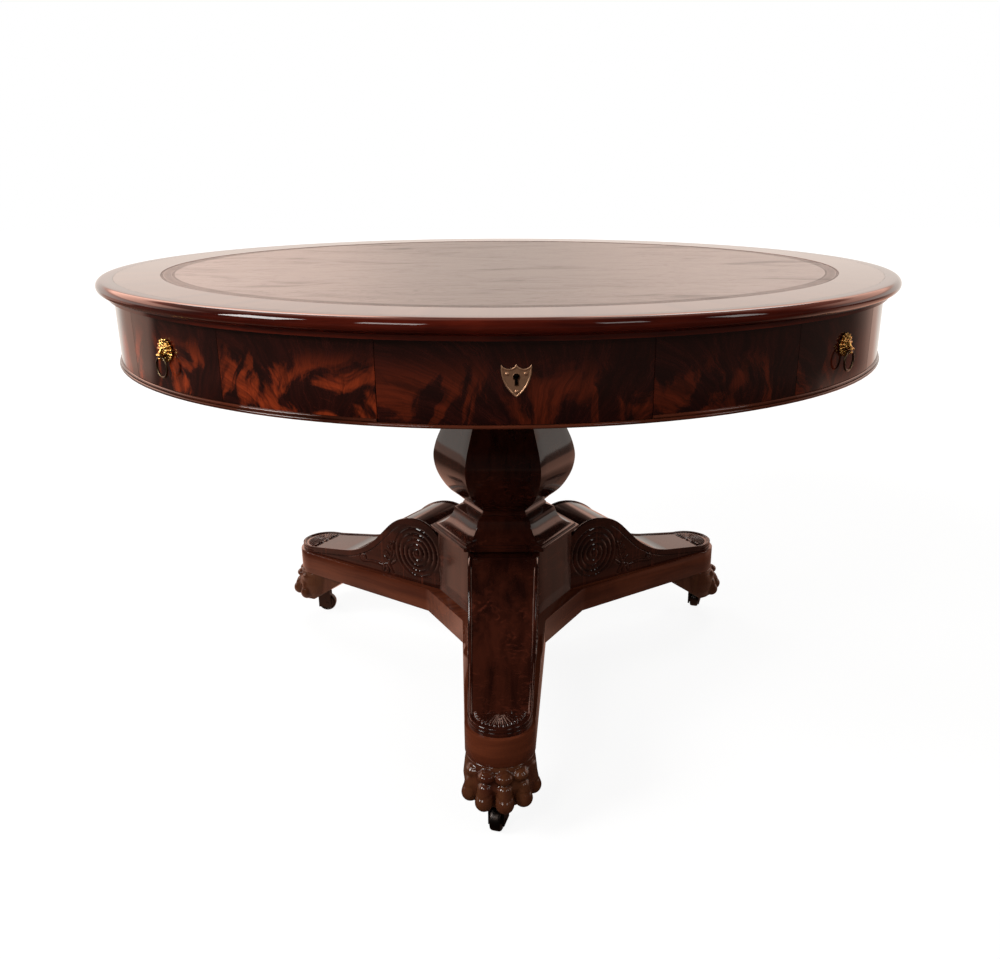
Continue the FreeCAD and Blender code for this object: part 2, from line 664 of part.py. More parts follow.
def draw_key_slot(sketch):
    foot = KEYHOLE + " - Sizes.keyhole_drop"
    draw_outline(sketch, rectangle("-Sizes.keyhole_slot / 2", foot, "Sizes.keyhole_slot / 2", KEYHOLE))


def make_front(kind, number, azimuth):
    foot = FRIEZE_FOOT + " + Sizes.front_gap"
    if kind == "lock":
        foot = REED_MIDDLE + " + Sizes.front_gap"
    top = FRIEZE_TOP + " - Sizes.front_gap"
    name = "%s_drawer_%d_front" % (kind, number)
    angle = "2 * (Sizes.%s_half_angle - %s)" % (kind, GAP_ANGLE)
    front = turned_body(name + "_board", rectangle(INNER_RADIUS, foot, FRONT_RADIUS, top), angle)
    if kind == "lock":
        high = top + " + Sizes.overrun"
        low = LOCK_FOOT + " - Sizes.lock_fit"
        side = "(Sizes.lock_width / 2 + Sizes.lock_fit)"
        pocket(front, name + "_lock_recess", "YZ_Plane",
               lambda sketch: draw_outline(sketch, rectangle("-" + side, low, side, high)),
               INNER_RADIUS + " + Sizes.lock_depth + Sizes.lock_fit")
        pocket(front, name + "_keyhole", "YZ_Plane", draw_keyhole)
        pocket(front, name + "_key_slot", "YZ_Plane", draw_key_slot)
    keep(front, name, azimuth)


def make_drawer_carcase(kind, number, azimuth):
    name = "%s_drawer_%d_carcase" % (kind, number)
    back = drawer_back(kind)
    half = half_width(kind)
    inside = "(%s - Sizes.side_depth)" % half
    joint = "Sizes.glue_line"
    length = "(%s - %s)" % (FRONT_RADIUS, back)
    curve = cylinder(name + "_curve", INNER_RADIUS + " - Sizes.glue_line", "Sizes.top_height")
    pieces = []
    for side, edge in (("left", inside), ("right", "-" + half)):
        plain = box("%s_%s_plain" % (name, side), (back, edge, RUN_HEIGHT),
                    (length, "Sizes.side_depth", CARCASE_HEIGHT))
        pieces.append(shared("%s_%s_side" % (name, side), [plain, curve]))
    width = "2 * (%s - %s)" % (inside, joint)
    across = "-(%s - %s)" % (inside, joint)
    pieces.append(box(name + "_back", (back, across, RUN_HEIGHT),
                      ("Sizes.side_depth", width, CARCASE_HEIGHT + " - Sizes.back_drop")))
    floor_low = (back + " + Sizes.side_depth + Sizes.glue_line", across,
                 RUN_HEIGHT + " + Sizes.drawer_floor_rise")
    floor = box(name + "_floor_plain", floor_low, (length, width, "Sizes.drawer_floor_depth"))
    pieces.append(shared(name + "_floor", [floor, curve]))
    keep(group(name + "_group", pieces), name, azimuth)


def make_lock(number, azimuth):
    name = "lock_drawer_%d_lock" % number
    front_top = FRIEZE_TOP + " - Sizes.front_gap"
    low = (INNER_RADIUS, "-Sizes.lock_width / 2", LOCK_FOOT)
    case = box(name + "_case", low,
               ("Sizes.lock_depth", "Sizes.lock_width", "%s - %s" % (front_top, LOCK_FOOT)))
    behind = (INNER_RADIUS + " + Sizes.lock_depth - Sizes.overrun", "0", KEYHOLE)
    hole = doc.addObject("Part::Cylinder", name + "_hole")
    hole.Placement = FreeCAD.Placement(Vector(), FreeCAD.Rotation(Vector(0, 1, 0), QUARTER_TURN))
    sized(hole, Radius="Sizes.keyhole_radius", Height="2 * Sizes.overrun")
    placed(hole, *behind)
    post = doc.addObject("Part::Cylinder", name + "_post")
    post.Placement = FreeCAD.Placement(Vector(), FreeCAD.Rotation(Vector(0, 1, 0), QUARTER_TURN))
    sized(post, Radius="Sizes.key_post_radius", Height="Sizes.overrun + Sizes.lock_plate_depth")
    placed(post, *behind)
    bored = cut_away(name + "_bored", case, hole)
    keep(fused(name + "_whole", [bored, post]), name, azimuth)


def make_escutcheon(number, azimuth):
    name = "lock_drawer_%d_escutcheon" % number
    tip = KEYHOLE + " + Sizes.shield_rise"
    point = KEYHOLE + " - Sizes.shield_drop"
    half = "Sizes.shield_half_width"
    scoop_centre = tip + " + Sizes.shield_scoop"
    outline = [
        ("0", point, True, "x", "-Sizes.shield_side_reach"),
        (half, tip, False, "y", scoop_centre),
        ("0", tip, False, "y", scoop_centre),
        ("-" + half, tip, True, "x", "Sizes.shield_side_reach"),
    ]
    seat = FRONT_RADIUS + " + Sizes.shield_seat"
    plate = padded_body(name + "_plate", "YZ_Plane", outline, "Sizes.shield_depth", seat)
    pins = sketch_on(plate, "YZ_Plane", name + "_pins_outline", seat)
    pin_height = tip + " - Sizes.shield_pin_drop"
    for across in ("(%s - Sizes.shield_pin_inset)" % half, "-(%s - Sizes.shield_pin_inset)" % half):
        draw_circle(pins, across, pin_height, "Sizes.shield_pin_radius")
    draw_circle(pins, "0", point + " + Sizes.shield_pin_drop", "Sizes.shield_pin_radius")
    doc.recompute()
    heads = plate.newObject("PartDesign::Pad", name + "_pins")
    heads.Profile = pins
    heads.setExpression("Length", "Sizes.shield_depth + Sizes.shield_pin_stand")
    doc.recompute()
    pocket(plate, name + "_keyhole", "YZ_Plane", draw_keyhole)
    pocket(plate, name + "_key_slot", "YZ_Plane", draw_key_slot)
    keep(plate, name, azimuth)


def make_mask(number, azimuth):
    """Lion mask: back plate, mane of round locks, domed face and a muzzle bored for the ring."""
    face = size(FRONT_RADIUS)
    height = size(MASK)
    outer = size("Sizes.mask_radius - Sizes.mane_lobe_radius")
    lock = size("Sizes.mane_lobe_radius")
    lock_tip = size("Sizes.mane_tip_radius")
    lock_depth = size("Sizes.mane_depth")
    seat = face + size("Sizes.shield_seat")
    outwards = Vector(1, 0, 0)
    whole = Part.makeCylinder(outer, size("Sizes.mask_base_depth"), Vector(seat, 0, height), outwards)
    dome_radius = size("Sizes.mask_face_radius")
    dome_depth = size("Sizes.mask_face_depth")
    curve = (dome_radius ** 2 + dome_depth ** 2) / (2 * dome_depth)
    dome = Part.makeSphere(curve, Vector(seat + dome_depth - curve, 0, height))
    slab = Part.makeCylinder(dome_radius, dome_depth, Vector(seat, 0, height), outwards)
    pieces = [dome.common(slab)]
    for step in range(MANE_LOCKS):
        angle = 2 * math.pi * step / MANE_LOCKS + math.pi / 2
        middle = Vector(seat, outer * math.cos(angle), height + outer * math.sin(angle))
        pieces.append(Part.makeCone(lock, lock_tip, lock_depth, middle, outwards))
    width = size("Sizes.muzzle_width")
    mouth = height - size("Sizes.ring_drop")
    tall = size("Sizes.muzzle_height")
    reach = size("Sizes.muzzle_depth")
    muzzle = Part.makeBox(reach, width, tall, Vector(seat, -width / 2, mouth - tall / 2))
    rounder = Part.makeCylinder(tall / 2, width, Vector(seat + reach - tall / 2, -width / 2, mouth),
                                Vector(0, 1, 0))
    stem = Part.makeBox(reach - tall / 2, width, tall, Vector(seat, -width / 2, mouth - tall / 2))
    pieces.append(muzzle.common(rounder.fuse(stem)))
    whole = whole.fuse(pieces).removeSplitter()
    ring_face = face + size("Sizes.ring_stand")
    past = size("Sizes.overrun")
    bore = Part.makeCylinder(size("Sizes.ring_hole_radius"), width + 2 * past,
                             Vector(ring_face, -width / 2 - past, mouth), Vector(0, 1, 0))
    name = "ring_drawer_%d_lion_mask" % number
    keep(from_shape(name + "_cast", whole.cut(bore)), name, azimuth)


def make_ring(number, azimuth):
    name = "ring_drawer_%d_ring" % number
    ring = doc.addObject("Part::Torus", name + "_wire")
    ring.Placement = FreeCAD.Placement(Vector(), FreeCAD.Rotation(Vector(0, 1, 0), QUARTER_TURN))
    sized(ring, Radius1="Sizes.ring_radius", Radius2="Sizes.ring_wire_radius")
    placed(ring, x=FRONT_RADIUS + " + Sizes.ring_stand", z=MASK + " - Sizes.ring_drop - Sizes.ring_radius")
    keep(group(name + "_hung", [ring]), name, azimuth)


def make_drawers():
    for quarter in range(QUARTERS):
        number = quarter + 1
        azimuth = QUARTER_TURN * quarter
        make_front("lock", number, azimuth)
        make_drawer_carcase("lock", number, azimuth)
        make_lock(number, azimuth)
        make_escutcheon(number, azimuth)
        azimuth += HALF_QUARTER
        make_front("ring", number, azimuth)
        make_drawer_carcase("ring", number, azimuth)
        make_mask(number, azimuth)
        make_ring(number, azimuth)


# Pivot


SOCKET_FOOT = "(%s + Sizes.glue_line)" % DRUM_FLOOR
SOCKET_TOP = "(%s + Sizes.socket_height)" % SOCKET_FOOT
WASHER_FOOT = "(%s + Sizes.turn_gap)" % SOCKET_TOP
NUT_FOOT = "(%s + Sizes.washer_depth)" % WASHER_FOOT
BEARER_TOP = "(%s - Sizes.turn_gap)" % DRUM_FLOOR_FOOT
BEARER_FOOT = "(%s - Sizes.bearer_depth)" % BEARER_TOP
SPINDLE_FOOT = "(%s - Sizes.spindle_bury)" % BEARER_TOP


def make_pivot():
    bore = "Sizes.spindle_radius + Sizes.spindle_fit"
    socket = rectangle(bore, SOCKET_FOOT, "Sizes.socket_radius", SOCKET_TOP)
    keep(turned_body("socket", socket), "pivot_socket")

    height = "%s + Sizes.nut_height + Sizes.nut_stub - %s" % (NUT_FOOT, SPINDLE_FOOT)
    spindle = cylinder("spindle", "Sizes.spindle_radius", height, ("0", "0", SPINDLE_FOOT))

    tight = "Sizes.spindle_radius + Sizes.glue_line"
    washer = cylinder("washer", "Sizes.washer_radius", "Sizes.washer_depth", ("0", "0", WASHER_FOOT))
    nut = prism("nut", "Sizes.nut_radius", "Sizes.nut_height", NUT_FOOT)
    thread = cylinder("nut_thread", tight, "Sizes.washer_depth + Sizes.nut_height + 2 * Sizes.overrun",
                      ("0", "0", WASHER_FOOT + " - Sizes.overrun"))
    bored = cut_away("nut_bored", fused("nut_and_washer", [washer, nut]), thread)
    keep(group("spindle_and_nut", [spindle, bored]), "pivot_spindle")

    block = prism("bearer", "Sizes.bearer_radius", "Sizes.bearer_depth", BEARER_FOOT)
    hole = cylinder("bearer_hole", tight, "Sizes.bearer_depth + 2 * Sizes.overrun",
                    ("0", "0", BEARER_FOOT + " - Sizes.overrun"))
    base_turned(cut_away("bearer_bored", block, hole), "bearer_block")


# Column and plinth. The hexagons have corners on +X and -X.


def base_turned(obj, name):
    obj.Placement = turned_by(size("Sizes.plinth_spin"))
    keep(obj, name)


CAPITAL_FOOT = "(%s - Sizes.glue_line - Sizes.capital_depth)" % BEARER_FOOT


def make_column():
    length = "(%s - %s)" % (CAPITAL_FOOT, SHAFT_FOOT)
    sections = []
    for rise, spread in COLUMN_SHARES:
        height = "%s + %s * %s" % (SHAFT_FOOT, length, rise)
        sections.append((height, "Sizes.column_bulb_radius * %s" % spread))
    shaft = hex_loft("shaft", sections)
    ring = prism("column_ring", "Sizes.column_ring_radius", "Sizes.column_ring_depth", COLUMN_FOOT)
    neck = "(Sizes.column_bulb_radius * %s + Sizes.glue_line)" % COLUMN_SHARES[-1][1]
    flare = []
    for rise, spread in CAPITAL_SHARES:
        flare.append(("%s + Sizes.capital_depth * %s" % (CAPITAL_FOOT, rise),
                      "%s + (Sizes.capital_radius - %s) * %s" % (neck, neck, spread)))
    capital = hex_loft("capital_flare", flare, ruled=True)
    hole = cylinder("column_hole", "Sizes.spindle_radius + Sizes.glue_line",
                    "Sizes.spindle_bury + Sizes.overrun", ("0", "0", SPINDLE_FOOT + " - Sizes.glue_line"))
    base_turned(cut_away("column_bored", fused("column_whole", [shaft, ring, capital]), hole), "column")


def make_plinth():
    spread = "(Sizes.cap_foot_radius - Sizes.cap_top_radius)"
    hollow = []
    for rise, inward in HOLLOW_SHARES:
        hollow.append(("%s + Sizes.cap_hollow_depth * %s" % (CAP_HOLLOW_FOOT, rise),
                       "Sizes.cap_foot_radius - %s * %s" % (spread, inward)))
    slope = hex_loft("cap_slope", hollow)
    neck = hex_loft("cap_neck", [(CAP_HOLLOW_TOP, "Sizes.cap_top_radius"),
                                 (CAP_TOP, "Sizes.column_ring_radius")], ruled=True)
    step = prism("cap_step", "Sizes.cap_step_radius", "Sizes.cap_step_depth", CAP_STEP_FOOT)
    edge = prism("cap_edge", "Sizes.cap_edge_radius", "Sizes.cap_edge_depth", CAP_FOOT)
    base_turned(fused("cap_whole", [edge, step, slope, neck]), "plinth_cap")

    foot = "(%s + Sizes.glue_line)" % PLATFORM_TOP
    block = prism("plinth", "Sizes.plinth_radius", "%s - Sizes.glue_line - %s" % (CAP_FOOT, foot), foot)
    base_turned(block, "plinth_block")


# Platform, legs and feet, drawn along +X and turned to their places


def leg_azimuth(number):
    return size("Sizes.plinth_spin") + FULL_TURN / LEGS * number


def plan_outline(start, start_half, end_radius):
    """Plan of an arm that narrows to a rounded end."""
    return [(start, "-" + start_half), (ARM_END, "-" + end_radius, True, "x", ARM_END),
            (ARM_END, end_radius), (start, start_half)]


def make_platform():
    hub = prism("platform_hub", "Sizes.platform_radius", "Sizes.platform_depth", PLATFORM_FOOT)
    hub.Placement.Rotation = FreeCAD.Rotation(Vector(0, 0, 1), size("Sizes.plinth_spin"))
    pieces = [hub]
    outline = plan_outline(PLATFORM_FACE + " + Sizes.glue_line", "Sizes.platform_radius / 2",
                           "Sizes.arm_end_radius")
    for number in range(LEGS):
        name = "platform_arm_%d" % number
        arm = padded_body(name, "XY_Plane", outline, "Sizes.platform_depth", PLATFORM_FOOT)
        arm.Placement = turned_by(leg_azimuth(number) - QUARTER_TURN)
        pieces.append(arm)
    keep(group("platform", pieces), "base_platform")


def make_leg(number):
    name = "leg_" + LEG_NAMES[number]
    foot = "(%s + Sizes.glue_line)" % PLATFORM_TOP
    hollow_centre = "%s + Sizes.hollow_radius * sin(Sizes.leg_slope)" % SLOPE_X
    past_end = "%s + Sizes.leg_end_radius + Sizes.overrun" % ARM_END
    pad = "(%s + Sizes.pad_height)" % PLATFORM_TOP
    outline = [
        (LEG_START, foot),
        (past_end, foot),
        (past_end, pad),
        (ARM_END, pad),
        (HOLLOW_X, HOLLOW_Z, False, "x", hollow_centre),
        (SLOPE_X, SLOPE_Z),
        (SHOULDER_X, SHOULDER_Z, True, "x", SCROLL),
        (SCROLL, LEG_CREST, True, "x", SCROLL),
        (LEG_START, "%s - %s" % (LEG_CREST, SCROLL_DROP)),
    ]
    side = padded_body(name + "_side", "XZ_Plane", outline, "Sizes.plinth_radius", None, True)
    plan = padded_body(name + "_plan", "XY_Plane",
                       plan_outline(LEG_START, "Sizes.plinth_radius / 2", "Sizes.leg_end_radius"),
                       LEG_CREST + " + Sizes.overrun")
    keep(shared(name + "_scroll", [side, plan]), name, leg_azimuth(number))


def ellipse_wire(x, z, along, across):
    """Level ellipse whose first radius lies along X."""
    middle = Vector(x, 0, z)
    if across > along:
        curve = Part.Ellipse(middle + Vector(0, across, 0), middle + Vector(-along, 0, 0), middle)
    else:
        curve = Part.Ellipse(middle + Vector(along, 0, 0), middle + Vector(0, across, 0), middle)
    return Part.Wire([curve.toShape()])


def capsule(start, start_radius, end, end_radius):
    """Two balls and the cone that touches both, as one turned solid."""
    along = end - start
    lean = math.asin((start_radius - end_radius) / along.Length)
    outline = []
    for height, radius, tip in ((0, start_radius, -1), (along.Length, end_radius, 1)):
        touch = Vector(radius * math.cos(lean), 0, height + radius * math.sin(lean))
        angle = (tip * math.pi / 2 + lean) / 2
        bulge = Vector(radius * math.cos(angle), 0, height + radius * math.sin(angle))
        outline.append((Vector(0, 0, height + tip * radius), bulge, touch))
    edges = [Part.Arc(*outline[0]).toShape(),
             Part.LineSegment(outline[0][2], outline[1][2]).toShape(),
             Part.Arc(*outline[1][::-1]).toShape(),
             Part.LineSegment(outline[1][0], outline[0][0]).toShape()]
    solid = Part.Face(Part.Wire(edges)).revolve(Vector(), Vector(0, 0, 1), FULL_TURN)
    solid.Placement = FreeCAD.Placement(start, FreeCAD.Rotation(Vector(0, 0, 1), along))
    return solid


def paw_shape():
    """Paw on +X: a swelling block, its toes and the block that runs back under the arm."""
    floor = size(PAW_FOOT)
    top = size(PLATFORM_FOOT + " - Sizes.glue_line")
    middle = size(PAW_MIDDLE)
    sections = []
    for rise, along, across in PAW_SHARES:
        height = floor + (top - floor) * rise
        sections.append(ellipse_wire(middle, height, along * size("Sizes.foot_length_radius"),
                                     across * size("Sizes.foot_width_radius")))
    paw = Part.makeLoft(sections, True, False)
    back = middle - size("Sizes.ramp_length")
    heel = middle - size("Sizes.ramp_foot")
    half = size("Sizes.ramp_half_width")
    corners = [Vector(back, -half, top), Vector(middle, -half, top), Vector(middle, -half, floor),
               Vector(heel, -half, floor)]
    ramp = Part.Face(Part.makePolygon(corners + corners[:1])).extrude(Vector(0, 2 * half, 0))
    # The back of the paw is sawn off along the ramp
    wide = size("Sizes.foot_width_radius")
    corners = [Vector(back, -wide, top), Vector(heel, -wide, floor), Vector(back, -wide, floor)]
    paw = paw.cut(Part.Face(Part.makePolygon(corners + corners[:1])).extrude(Vector(0, 2 * wide, 0)))
    pieces = [ramp]
    for step in range(TOES):
        angle = math.radians(size("Sizes.toe_spread")) * (step - (TOES - 1) / 2)
        ahead = math.cos(angle)
        aside = math.sin(angle)
        knuckle = Vector(middle + ahead * size("Sizes.knuckle_reach"),
                         aside * size("Sizes.knuckle_side_reach"), floor + size("Sizes.knuckle_rise"))
        tip = Vector(middle + ahead * size("Sizes.toe_reach"), aside * size("Sizes.toe_side_reach"),
                     floor + size("Sizes.toe_rise"))
        pieces.append(capsule(knuckle, size("Sizes.knuckle_radius"), tip, size("Sizes.toe_radius")))
    return paw.fuse(pieces)


def make_feet():
    paw = paw_shape()
    feet = []
    for number in range(LEGS):
        foot = paw.copy()
        foot.rotate(Vector(), Vector(0, 0, 1), leg_azimuth(number) - QUARTER_TURN)
        feet.append(foot)
    keep(from_shape("paws", Part.makeCompound(feet)), "paw_feet")


# Castors, drawn at the origin with the axle towards +X


PLATE_TOP = "(%s - Sizes.glue_line)" % PAW_FOOT
PLATE_FOOT = "(%s - Sizes.plate_depth)" % PLATE_TOP
CROWN_TOP = "(%s - Sizes.turn_gap)" % PLATE_FOOT
CROWN_FOOT = "(%s - Sizes.crown_depth)" % CROWN_TOP
HEAD_TOP = "(%s - Sizes.turn_gap)" % CROWN_FOOT


def at_castor(obj, name, number):
    azimuth = math.radians(leg_azimuth(number))
    reach = size(CASTOR_REACH)
    place = Vector(reach * math.sin(azimuth), -reach * math.cos(azimuth), 0)
    obj.Placement = FreeCAD.Placement(place, FreeCAD.Rotation(Vector(0, 0, 1), CASTOR_TURNS[number]))
    if name:
        keep(obj, name)
    return obj


def make_castors():
    plates = []
    for number in range(LEGS):
        label = "castor_%d" % (number + 1)
        plate = cylinder(label + "_plate", "Sizes.plate_radius", "Sizes.plate_depth", ("0", "0", PLATE_FOOT))
        shank = cylinder(label + "_shank", "Sizes.pin_radius", "%s - %s" % (PLATE_TOP, HEAD_TOP),
                         ("0", "0", HEAD_TOP))
        head = cylinder(label + "_head", "Sizes.pin_head_radius", "Sizes.pin_head_depth",
                        ("0", "0", HEAD_TOP + " - Sizes.pin_head_depth"))
        plates.append(at_castor(fused(label + "_fixed", [plate, shank, head]), None, number))

        crown = cylinder(label + "_crown", "Sizes.crown_radius", "Sizes.crown_depth", ("0", "0", CROWN_FOOT))
        arms = []
        inner = "(Sizes.wheel_width / 2 + Sizes.fork_gap)"
        long, tall = "Sizes.arm_back + Sizes.arm_reach", CROWN_TOP + " - Sizes.arm_floor"
        for side, edge in (("left", inner), ("right", "-(%s + Sizes.arm_depth)" % inner)):
            arms.append(box("%s_%s_arm" % (label, side), ("-Sizes.arm_back", edge, "Sizes.arm_floor"),
                            (long, "Sizes.arm_depth", tall)))
        reach = "(%s + Sizes.arm_depth + Sizes.fork_gap)" % inner
        axle = cylinder(label + "_axle", "Sizes.axle_radius", "2 * " + reach,
                        ("Sizes.trail", "-" + reach, "Sizes.wheel_radius"), across=True)
        bore = cylinder(label + "_bore", "Sizes.pin_radius + Sizes.axle_fit",
                        "Sizes.crown_depth + 2 * Sizes.overrun", ("0", "0", CROWN_FOOT + " - Sizes.overrun"))
        fork = cut_away(label + "_bored", fused(label + "_forged", [crown] + arms + [axle]), bore)
        at_castor(fork, "castor_fork_%d" % (number + 1), number)

        wheel = doc.addObject("Part::Cylinder", label + "_disc")
        wheel.Placement = FreeCAD.Placement(Vector(), FreeCAD.Rotation(Vector(1, 0, 0), -QUARTER_TURN))
        sized(wheel, Radius="Sizes.wheel_radius", Height="Sizes.wheel_width")
        placed(wheel, "Sizes.trail", "-Sizes.wheel_width / 2", "Sizes.wheel_radius")
        doc.recompute()
        rounded = doc.addObject("Part::Fillet", label + "_rim")
        rounded.Base = wheel
        circles = [index for index, edge in enumerate(wheel.Shape.Edges, start=1) if len(edge.Vertexes) == 1]
        rounded.Edges = [(index, size("Sizes.wheel_round"), size("Sizes.wheel_round")) for index in circles]
        centre = cylinder(label + "_wheel_bore", "Sizes.axle_radius + Sizes.axle_fit",
                          "Sizes.wheel_width + 2 * Sizes.overrun",
                          ("Sizes.trail", "-(Sizes.wheel_width / 2 + Sizes.overrun)", "Sizes.wheel_radius"),
                          across=True)
        at_castor(cut_away(label + "_bored_wheel", rounded, centre), "castor_wheel_%d" % (number + 1), number)
    keep(group("plates", plates), "castor_plates")


def check():
    """Stop on anything that failed to build."""
    doc.recompute()
    for obj in doc.Objects:
        if "Invalid" in obj.State or "Error" in obj.State:
            raise ValueError("%s (%s) failed: %s" % (obj.Name, obj.Label, obj.State))
    for node in nodes:
        if node.Shape.isNull() or not node.Shape.isValid() or not node.Shape.Solids:
            raise ValueError("%s has no valid solid" % node.Label)


def write():
    os.makedirs("parts", exist_ok=True)
    for node in nodes:
        node.Shape.exportStep("parts/%s.step" % node.Label)
    print(len(nodes), "sub-parts,", sum(len(node.Shape.Solids) for node in nodes), "solids")


fill_sheet()
make_top()
make_frieze()
make_carcase()
make_drawers()
make_pivot()
make_column()
make_plinth()
make_platform()
for leg_number in range(LEGS):
    make_leg(leg_number)
make_feet()
make_castors()
check()
write()
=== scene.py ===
import math

import bpy
import numpy as np
from bpy.props import FloatProperty, FloatVectorProperty, IntProperty, PointerProperty
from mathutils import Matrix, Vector


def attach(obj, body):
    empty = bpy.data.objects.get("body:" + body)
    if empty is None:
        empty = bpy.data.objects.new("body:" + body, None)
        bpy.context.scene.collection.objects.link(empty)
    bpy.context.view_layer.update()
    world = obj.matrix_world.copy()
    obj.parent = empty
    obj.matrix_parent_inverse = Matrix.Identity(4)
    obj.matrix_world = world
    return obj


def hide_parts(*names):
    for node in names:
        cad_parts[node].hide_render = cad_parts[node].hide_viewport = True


bl_info = {
    "name": "Revolving drum table",
    "version": (1, 0, 0),
    "blender": (4, 5, 0),
    "location": "View3D > Sidebar > Drum table",
    "description": "Carving, veneers, leather and brass of a round library table on its packed frame",
    "category": "Object",
}

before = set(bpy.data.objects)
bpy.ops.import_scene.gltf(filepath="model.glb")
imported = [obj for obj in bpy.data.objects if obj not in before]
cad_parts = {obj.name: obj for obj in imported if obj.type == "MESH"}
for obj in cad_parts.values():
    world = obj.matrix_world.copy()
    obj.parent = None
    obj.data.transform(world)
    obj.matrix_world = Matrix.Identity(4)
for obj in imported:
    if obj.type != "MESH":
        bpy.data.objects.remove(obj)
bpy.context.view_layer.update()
MM = 0.001
DEGREES = 180 / math.pi
QUARTER = math.pi / 2
BASE_TURN = -2.5
LEG_AZIMUTHS = {"front": BASE_TURN, "right": BASE_TURN + 120, "left": BASE_TURN + 240}

# Places and sizes of the solids that the dressed pieces follow, in millimetres
TOP_HEIGHT = 746
LEATHER_RADIUS, LEATHER_FOOT, LEATHER_TOP = 531.9, 743.5, 745.6
FRONT_RADIUS, FRIEZE_FOOT = 598, 632
SEAT = 0.05
KEYHOLE_HEIGHT, MASK_HEIGHT = 681.5, 682
MASK_RELIEF, MASK_SPREAD = 1.12, 1.2
RING_RADIUS, RING_STAND, RING_DROP = 12.8, 9, 7
LEG_ROOT, LEG_ROOT_HALF, LEG_FOOT = 105.8, 61, 153.1
TOE_CENTRE, TOE_RADIUS = 434, 46
SCROLL_CENTRE, SCROLL_RADIUS, REEDED_RADIUS = (158, 213), 68, 53.5
PAW_MIDDLE, PAW_SOLE, PAW_TOP = 448, 50, 107.85
CASTOR_RADIUS, AXLE_TRAIL, AXLE_HEIGHT = 461, 14, 18

# Lobes of the leaf on a leg's side: from one point to another, with the radius at each
LEAF_LOBES = ((228, 172, 220, 196, 3.0, 2.4), (220, 196, 213, 224, 2.4, 1.4), (226, 180, 238, 191, 3.2, 1.4),
              (222, 190, 233, 203, 3.2, 1.3), (218, 200, 228, 213, 3.0, 1.2), (215, 210, 222, 222, 2.6, 1.0),
              (222, 187, 212, 197, 2.8, 1.2), (221, 178, 208, 188, 3.0, 1.3), (227, 176, 217, 161, 4.4, 2.4),
              (232, 175, 228, 159.5, 4.2, 2.2), (238, 173, 241, 159.5, 3.8, 1.8))

# Finishes: heights of the fine relief in millimetres, and the gloss of the polish
POLISH_RIPPLE, BARE_GRAIN, CAST_GRAIN, LEATHER_GRAIN = 0.6, 0.2, 0.08, 0.5
FINE_GLOSS, HANDLED_GLOSS = 0.035, 0.11
TOOLING_EDGE, TOOLING_MIDDLE = 531.5, 522
# Degrees between the middles of a lock drawer and of the leaf beside it. For each kind of veneer, how far its
# quarters of the drum are turned and how much its figure changes from one to the next.
LEAF_MIDDLE = 24.87
VENEERS = {"lock drawers": (45.0, 7.31), "ring drawers": (0.0, 3.17), "leaves": (45.0, 5.3)}

# Stage: the floor's reach in metres, and each window's azimuth, height, distance, width, length and strength
FLOOR_REACH = 14.0
DAYLIGHT = (1.0, 0.975, 0.95)
WINDOWS = ((-66, 2.3, 3.3, 1.1, 1.3, 17.0), (-30, 2.7, 3.5, 1.0, 1.0, 8.5), (30, 2.9, 3.6, 0.8, 0.9, 4.0),
           (62, 2.4, 3.4, 0.7, 1.2, 4.5), (150, 3.2, 3.2, 1.4, 1.2, 5.0), (-150, 3.2, 3.2, 1.4, 1.2, 5.0))


# Settings


def colour(name, default, description):
    return FloatVectorProperty(name=name, subtype="COLOR", size=3, min=0, max=1, default=default,
                               description=description)


def amount(name, default, description):
    return FloatProperty(name=name, default=default, min=0.0, max=10.0, description=description)


def whole(name, default, low, high, description):
    return IntProperty(name=name, default=default, min=low, max=high, description=description)


def degrees(name, default, description):
    return FloatProperty(name=name, default=math.radians(default), subtype="ANGLE", description=description)


def millimetres(name, default, description):
    return FloatProperty(name=name, default=default * MM, subtype="DISTANCE", unit="LENGTH",
                         description=description)


class DrumTableWoods(bpy.types.PropertyGroup):
    veneer_dark: colour("Veneer shade", (0.011, 0.0027, 0.0023), "Darkest parts of the flame veneer")
    veneer_red: colour("Veneer body", (0.040, 0.0068, 0.0046), "Body colour of the flame veneer")
    veneer_flame: colour("Veneer flame", (0.29, 0.038, 0.010), "Brightest plumes of the flame veneer")
    solid_dark: colour("Solid shade", (0.014, 0.0037, 0.0026), "Dark streaks of the solid wood")
    solid_red: colour("Solid body", (0.056, 0.0122, 0.0064), "Body colour of the solid wood")
    band_dark: colour("Band shade", (0.066, 0.014, 0.0065), "Dark streaks of the platform's facing")
    band_red: colour("Band body", (0.15, 0.036, 0.015), "Body colour of the platform's facing")
    rim_dark: colour("Rim shade", (0.17, 0.058, 0.034), "Dark streaks of the crossbanding")
    rim_red: colour("Rim body", (0.30, 0.125, 0.075), "Body colour of the crossbanding")
    oak_dark: colour("Oak shade", (0.16, 0.085, 0.038), "Dark streaks of the drawer linings")
    oak_light: colour("Oak body", (0.36, 0.215, 0.105), "Body colour of the drawer linings")
    lip_dark: colour("Lipping shade", (0.02, 0.0025, 0.002), "Dark streaks of the moulded lipping")
    lip_red: colour("Lipping body", (0.13, 0.014, 0.006), "Body colour of the moulded lipping")
    reed_red: colour("Reeds", (0.12, 0.028, 0.013), "Body colour of the reeds under the frieze")
    paw_red: colour("Paws", (0.098, 0.033, 0.013), "Body colour of the carved paws")
    under_dark: colour("Underside shade", (0.012, 0.0055, 0.0035), "Dark streaks of the stained underside")
    under_brown: colour("Underside body", (0.04, 0.018, 0.010), "Body colour of the stained underside")


